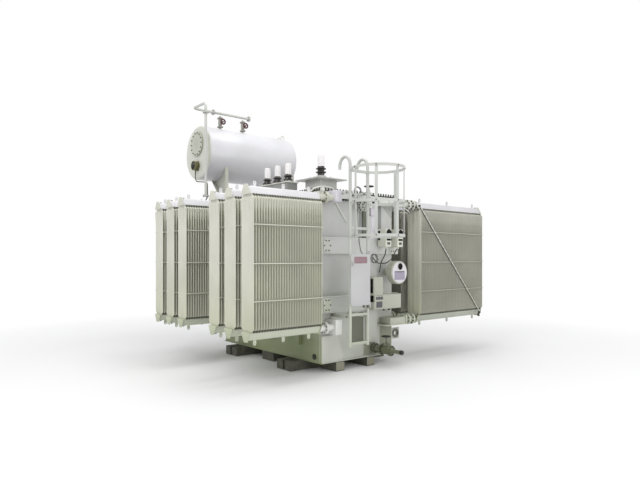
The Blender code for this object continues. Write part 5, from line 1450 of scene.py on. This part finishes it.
for number in range(1, 7):
    make_radiator("left", number, -1, LEFT_REACH, LEFT_COUNT)
for number in range(1, 5):
    make_radiator("right", number, 1, RIGHT_REACH, RIGHT_COUNT)
make_brace()
make_tank_fittings()
make_cover_fittings()
make_skid_ends()
make_left_feeds()
make_right_feeds()
make_feed_tubes()
make_conservator()
make_drum_pipes()
make_large_bushing()
make_small_bushings()
make_ladder()
make_cage()
make_guard()
make_instruments()
make_valves()

# Finishes of the CAD nodes that stay
for name, material in (("tank", TANK_PAINT), ("tank_cover", TANK_PAINT), ("skid_frame", BEAM_PAINT),
                       ("conservator_saddle_1", SADDLE_SHADE_PAINT), ("conservator_saddle_2", SADDLE_SHADE_PAINT)):
    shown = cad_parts[name]
    shown.data.materials.clear()
    shown.data.materials.append(material)


# Camera, floor and light

CAMERA_PLACE = (-6.19, -7.99, 1.86)      # eye height
CAMERA_TURN = -39.5                      # degrees off the ladder wall
LENS_MM = 29.7
LENS_RISE = 0.0273
SKY_STRENGTH = 0.88
FLOOR_SHADOW_REACH = 5.0
FLOOR_WHITE_REACH = 9.0
WHITE = (1.0, 1.0, 1.0, 1.0)


def add_camera():
    """Camera where the photographer stood."""
    lens = bpy.data.cameras.new("photo_camera")
    lens.sensor_width = 36.0
    lens.lens = LENS_MM
    lens.shift_y = LENS_RISE
    camera = bpy.data.objects.new("photo_camera", lens)
    camera.location = CAMERA_PLACE
    camera.rotation_euler = (math.radians(90), 0, math.radians(CAMERA_TURN))
    bpy.context.scene.collection.objects.link(camera)
    bpy.context.scene.camera = camera


def area_light(name, place, target, size, power):
    """Square white lamp that faces a point."""
    lamp = bpy.data.lights.new(name, "AREA")
    lamp.shape = "SQUARE"
    lamp.size = size
    lamp.energy = power
    made = bpy.data.objects.new(name, lamp)
    made.location = place
    made.rotation_euler = (Vector(target) - Vector(place)).to_track_quat("-Z", "Y").to_euler()
    bpy.context.scene.collection.objects.link(made)


def white_to_view(tree):
    """Return 1 on the rays by which the floor and sky are seen, directly, in a gloss or through glass."""
    path = add(tree, "ShaderNodeLightPath")
    seen = combined(tree, "MAXIMUM", path.outputs["Is Camera Ray"], path.outputs["Is Glossy Ray"])
    return combined(tree, "MAXIMUM", seen, path.outputs["Is Transmission Ray"])


def add_floor():
    """Pale floor that keeps the object's shadow and turns pure white away from it."""
    bm = bmesh.new()
    bmesh.ops.create_grid(bm, x_segments=2, y_segments=2, size=200)
    mesh = bpy.data.meshes.new("floor")
    bm.to_mesh(mesh)
    bm.free()
    made, tree, shader = blank("pale_studio_floor")
    shader.inputs["Base Color"].default_value = linear("ececed")
    shader.inputs["Roughness"].default_value = 0.9
    shader.inputs["Specular IOR Level"].default_value = 0.0
    place = add(tree, "ShaderNodeTexCoord").outputs["Object"]
    reach = add(tree, "ShaderNodeVectorMath", {"operation": "LENGTH"}, {0: place}).outputs["Value"]
    far = spread(tree, reach, FLOOR_SHADOW_REACH, FLOOR_WHITE_REACH)
    share = combined(tree, "MULTIPLY", far, white_to_view(tree))
    glow = add(tree, "ShaderNodeEmission", {"Color": WHITE, "Strength": 1.0})
    blend = add(tree, "ShaderNodeMixShader", links={0: share, 1: shader.outputs[0], 2: glow.outputs[0]})
    tree.links.new(blend.outputs[0], tree.nodes["Material Output"].inputs["Surface"])
    mesh.materials.append(made)
    floor = bpy.data.objects.new("floor", mesh)
    floor.location = (0, 0, -0.001)
    bpy.context.scene.collection.objects.link(floor)


def add_world():
    """Even white sky, full white where it is seen and a little weaker as light."""
    world = bpy.data.worlds.new("studio")
    world.use_nodes = True
    tree = world.node_tree
    background = tree.nodes["Background"]
    strength = spread(tree, white_to_view(tree), 0.0, 1.0, SKY_STRENGTH, 1.0)
    tree.links.new(strength, background.inputs["Strength"])
    background.inputs["Color"].default_value = WHITE
    bpy.context.scene.world = world


add_camera()
add_floor()
add_world()
area_light("key", (-9.0, -3.5, 9.5), (0, 0, 2.2), 5.0, 330.0)
area_light("top", (0.5, -1.0, 11.0), (0, 0, 2), 4.0, 235.0)
area_light("fill", (2.0, -10.0, 3.5), (0, 0, 1.8), 6.0, 150.0)
scene = bpy.context.scene
scene.view_settings.view_transform = "Standard"
scene.view_settings.look = "None"
scene.view_settings.exposure = 0.0
scene.view_settings.gamma = 1.0
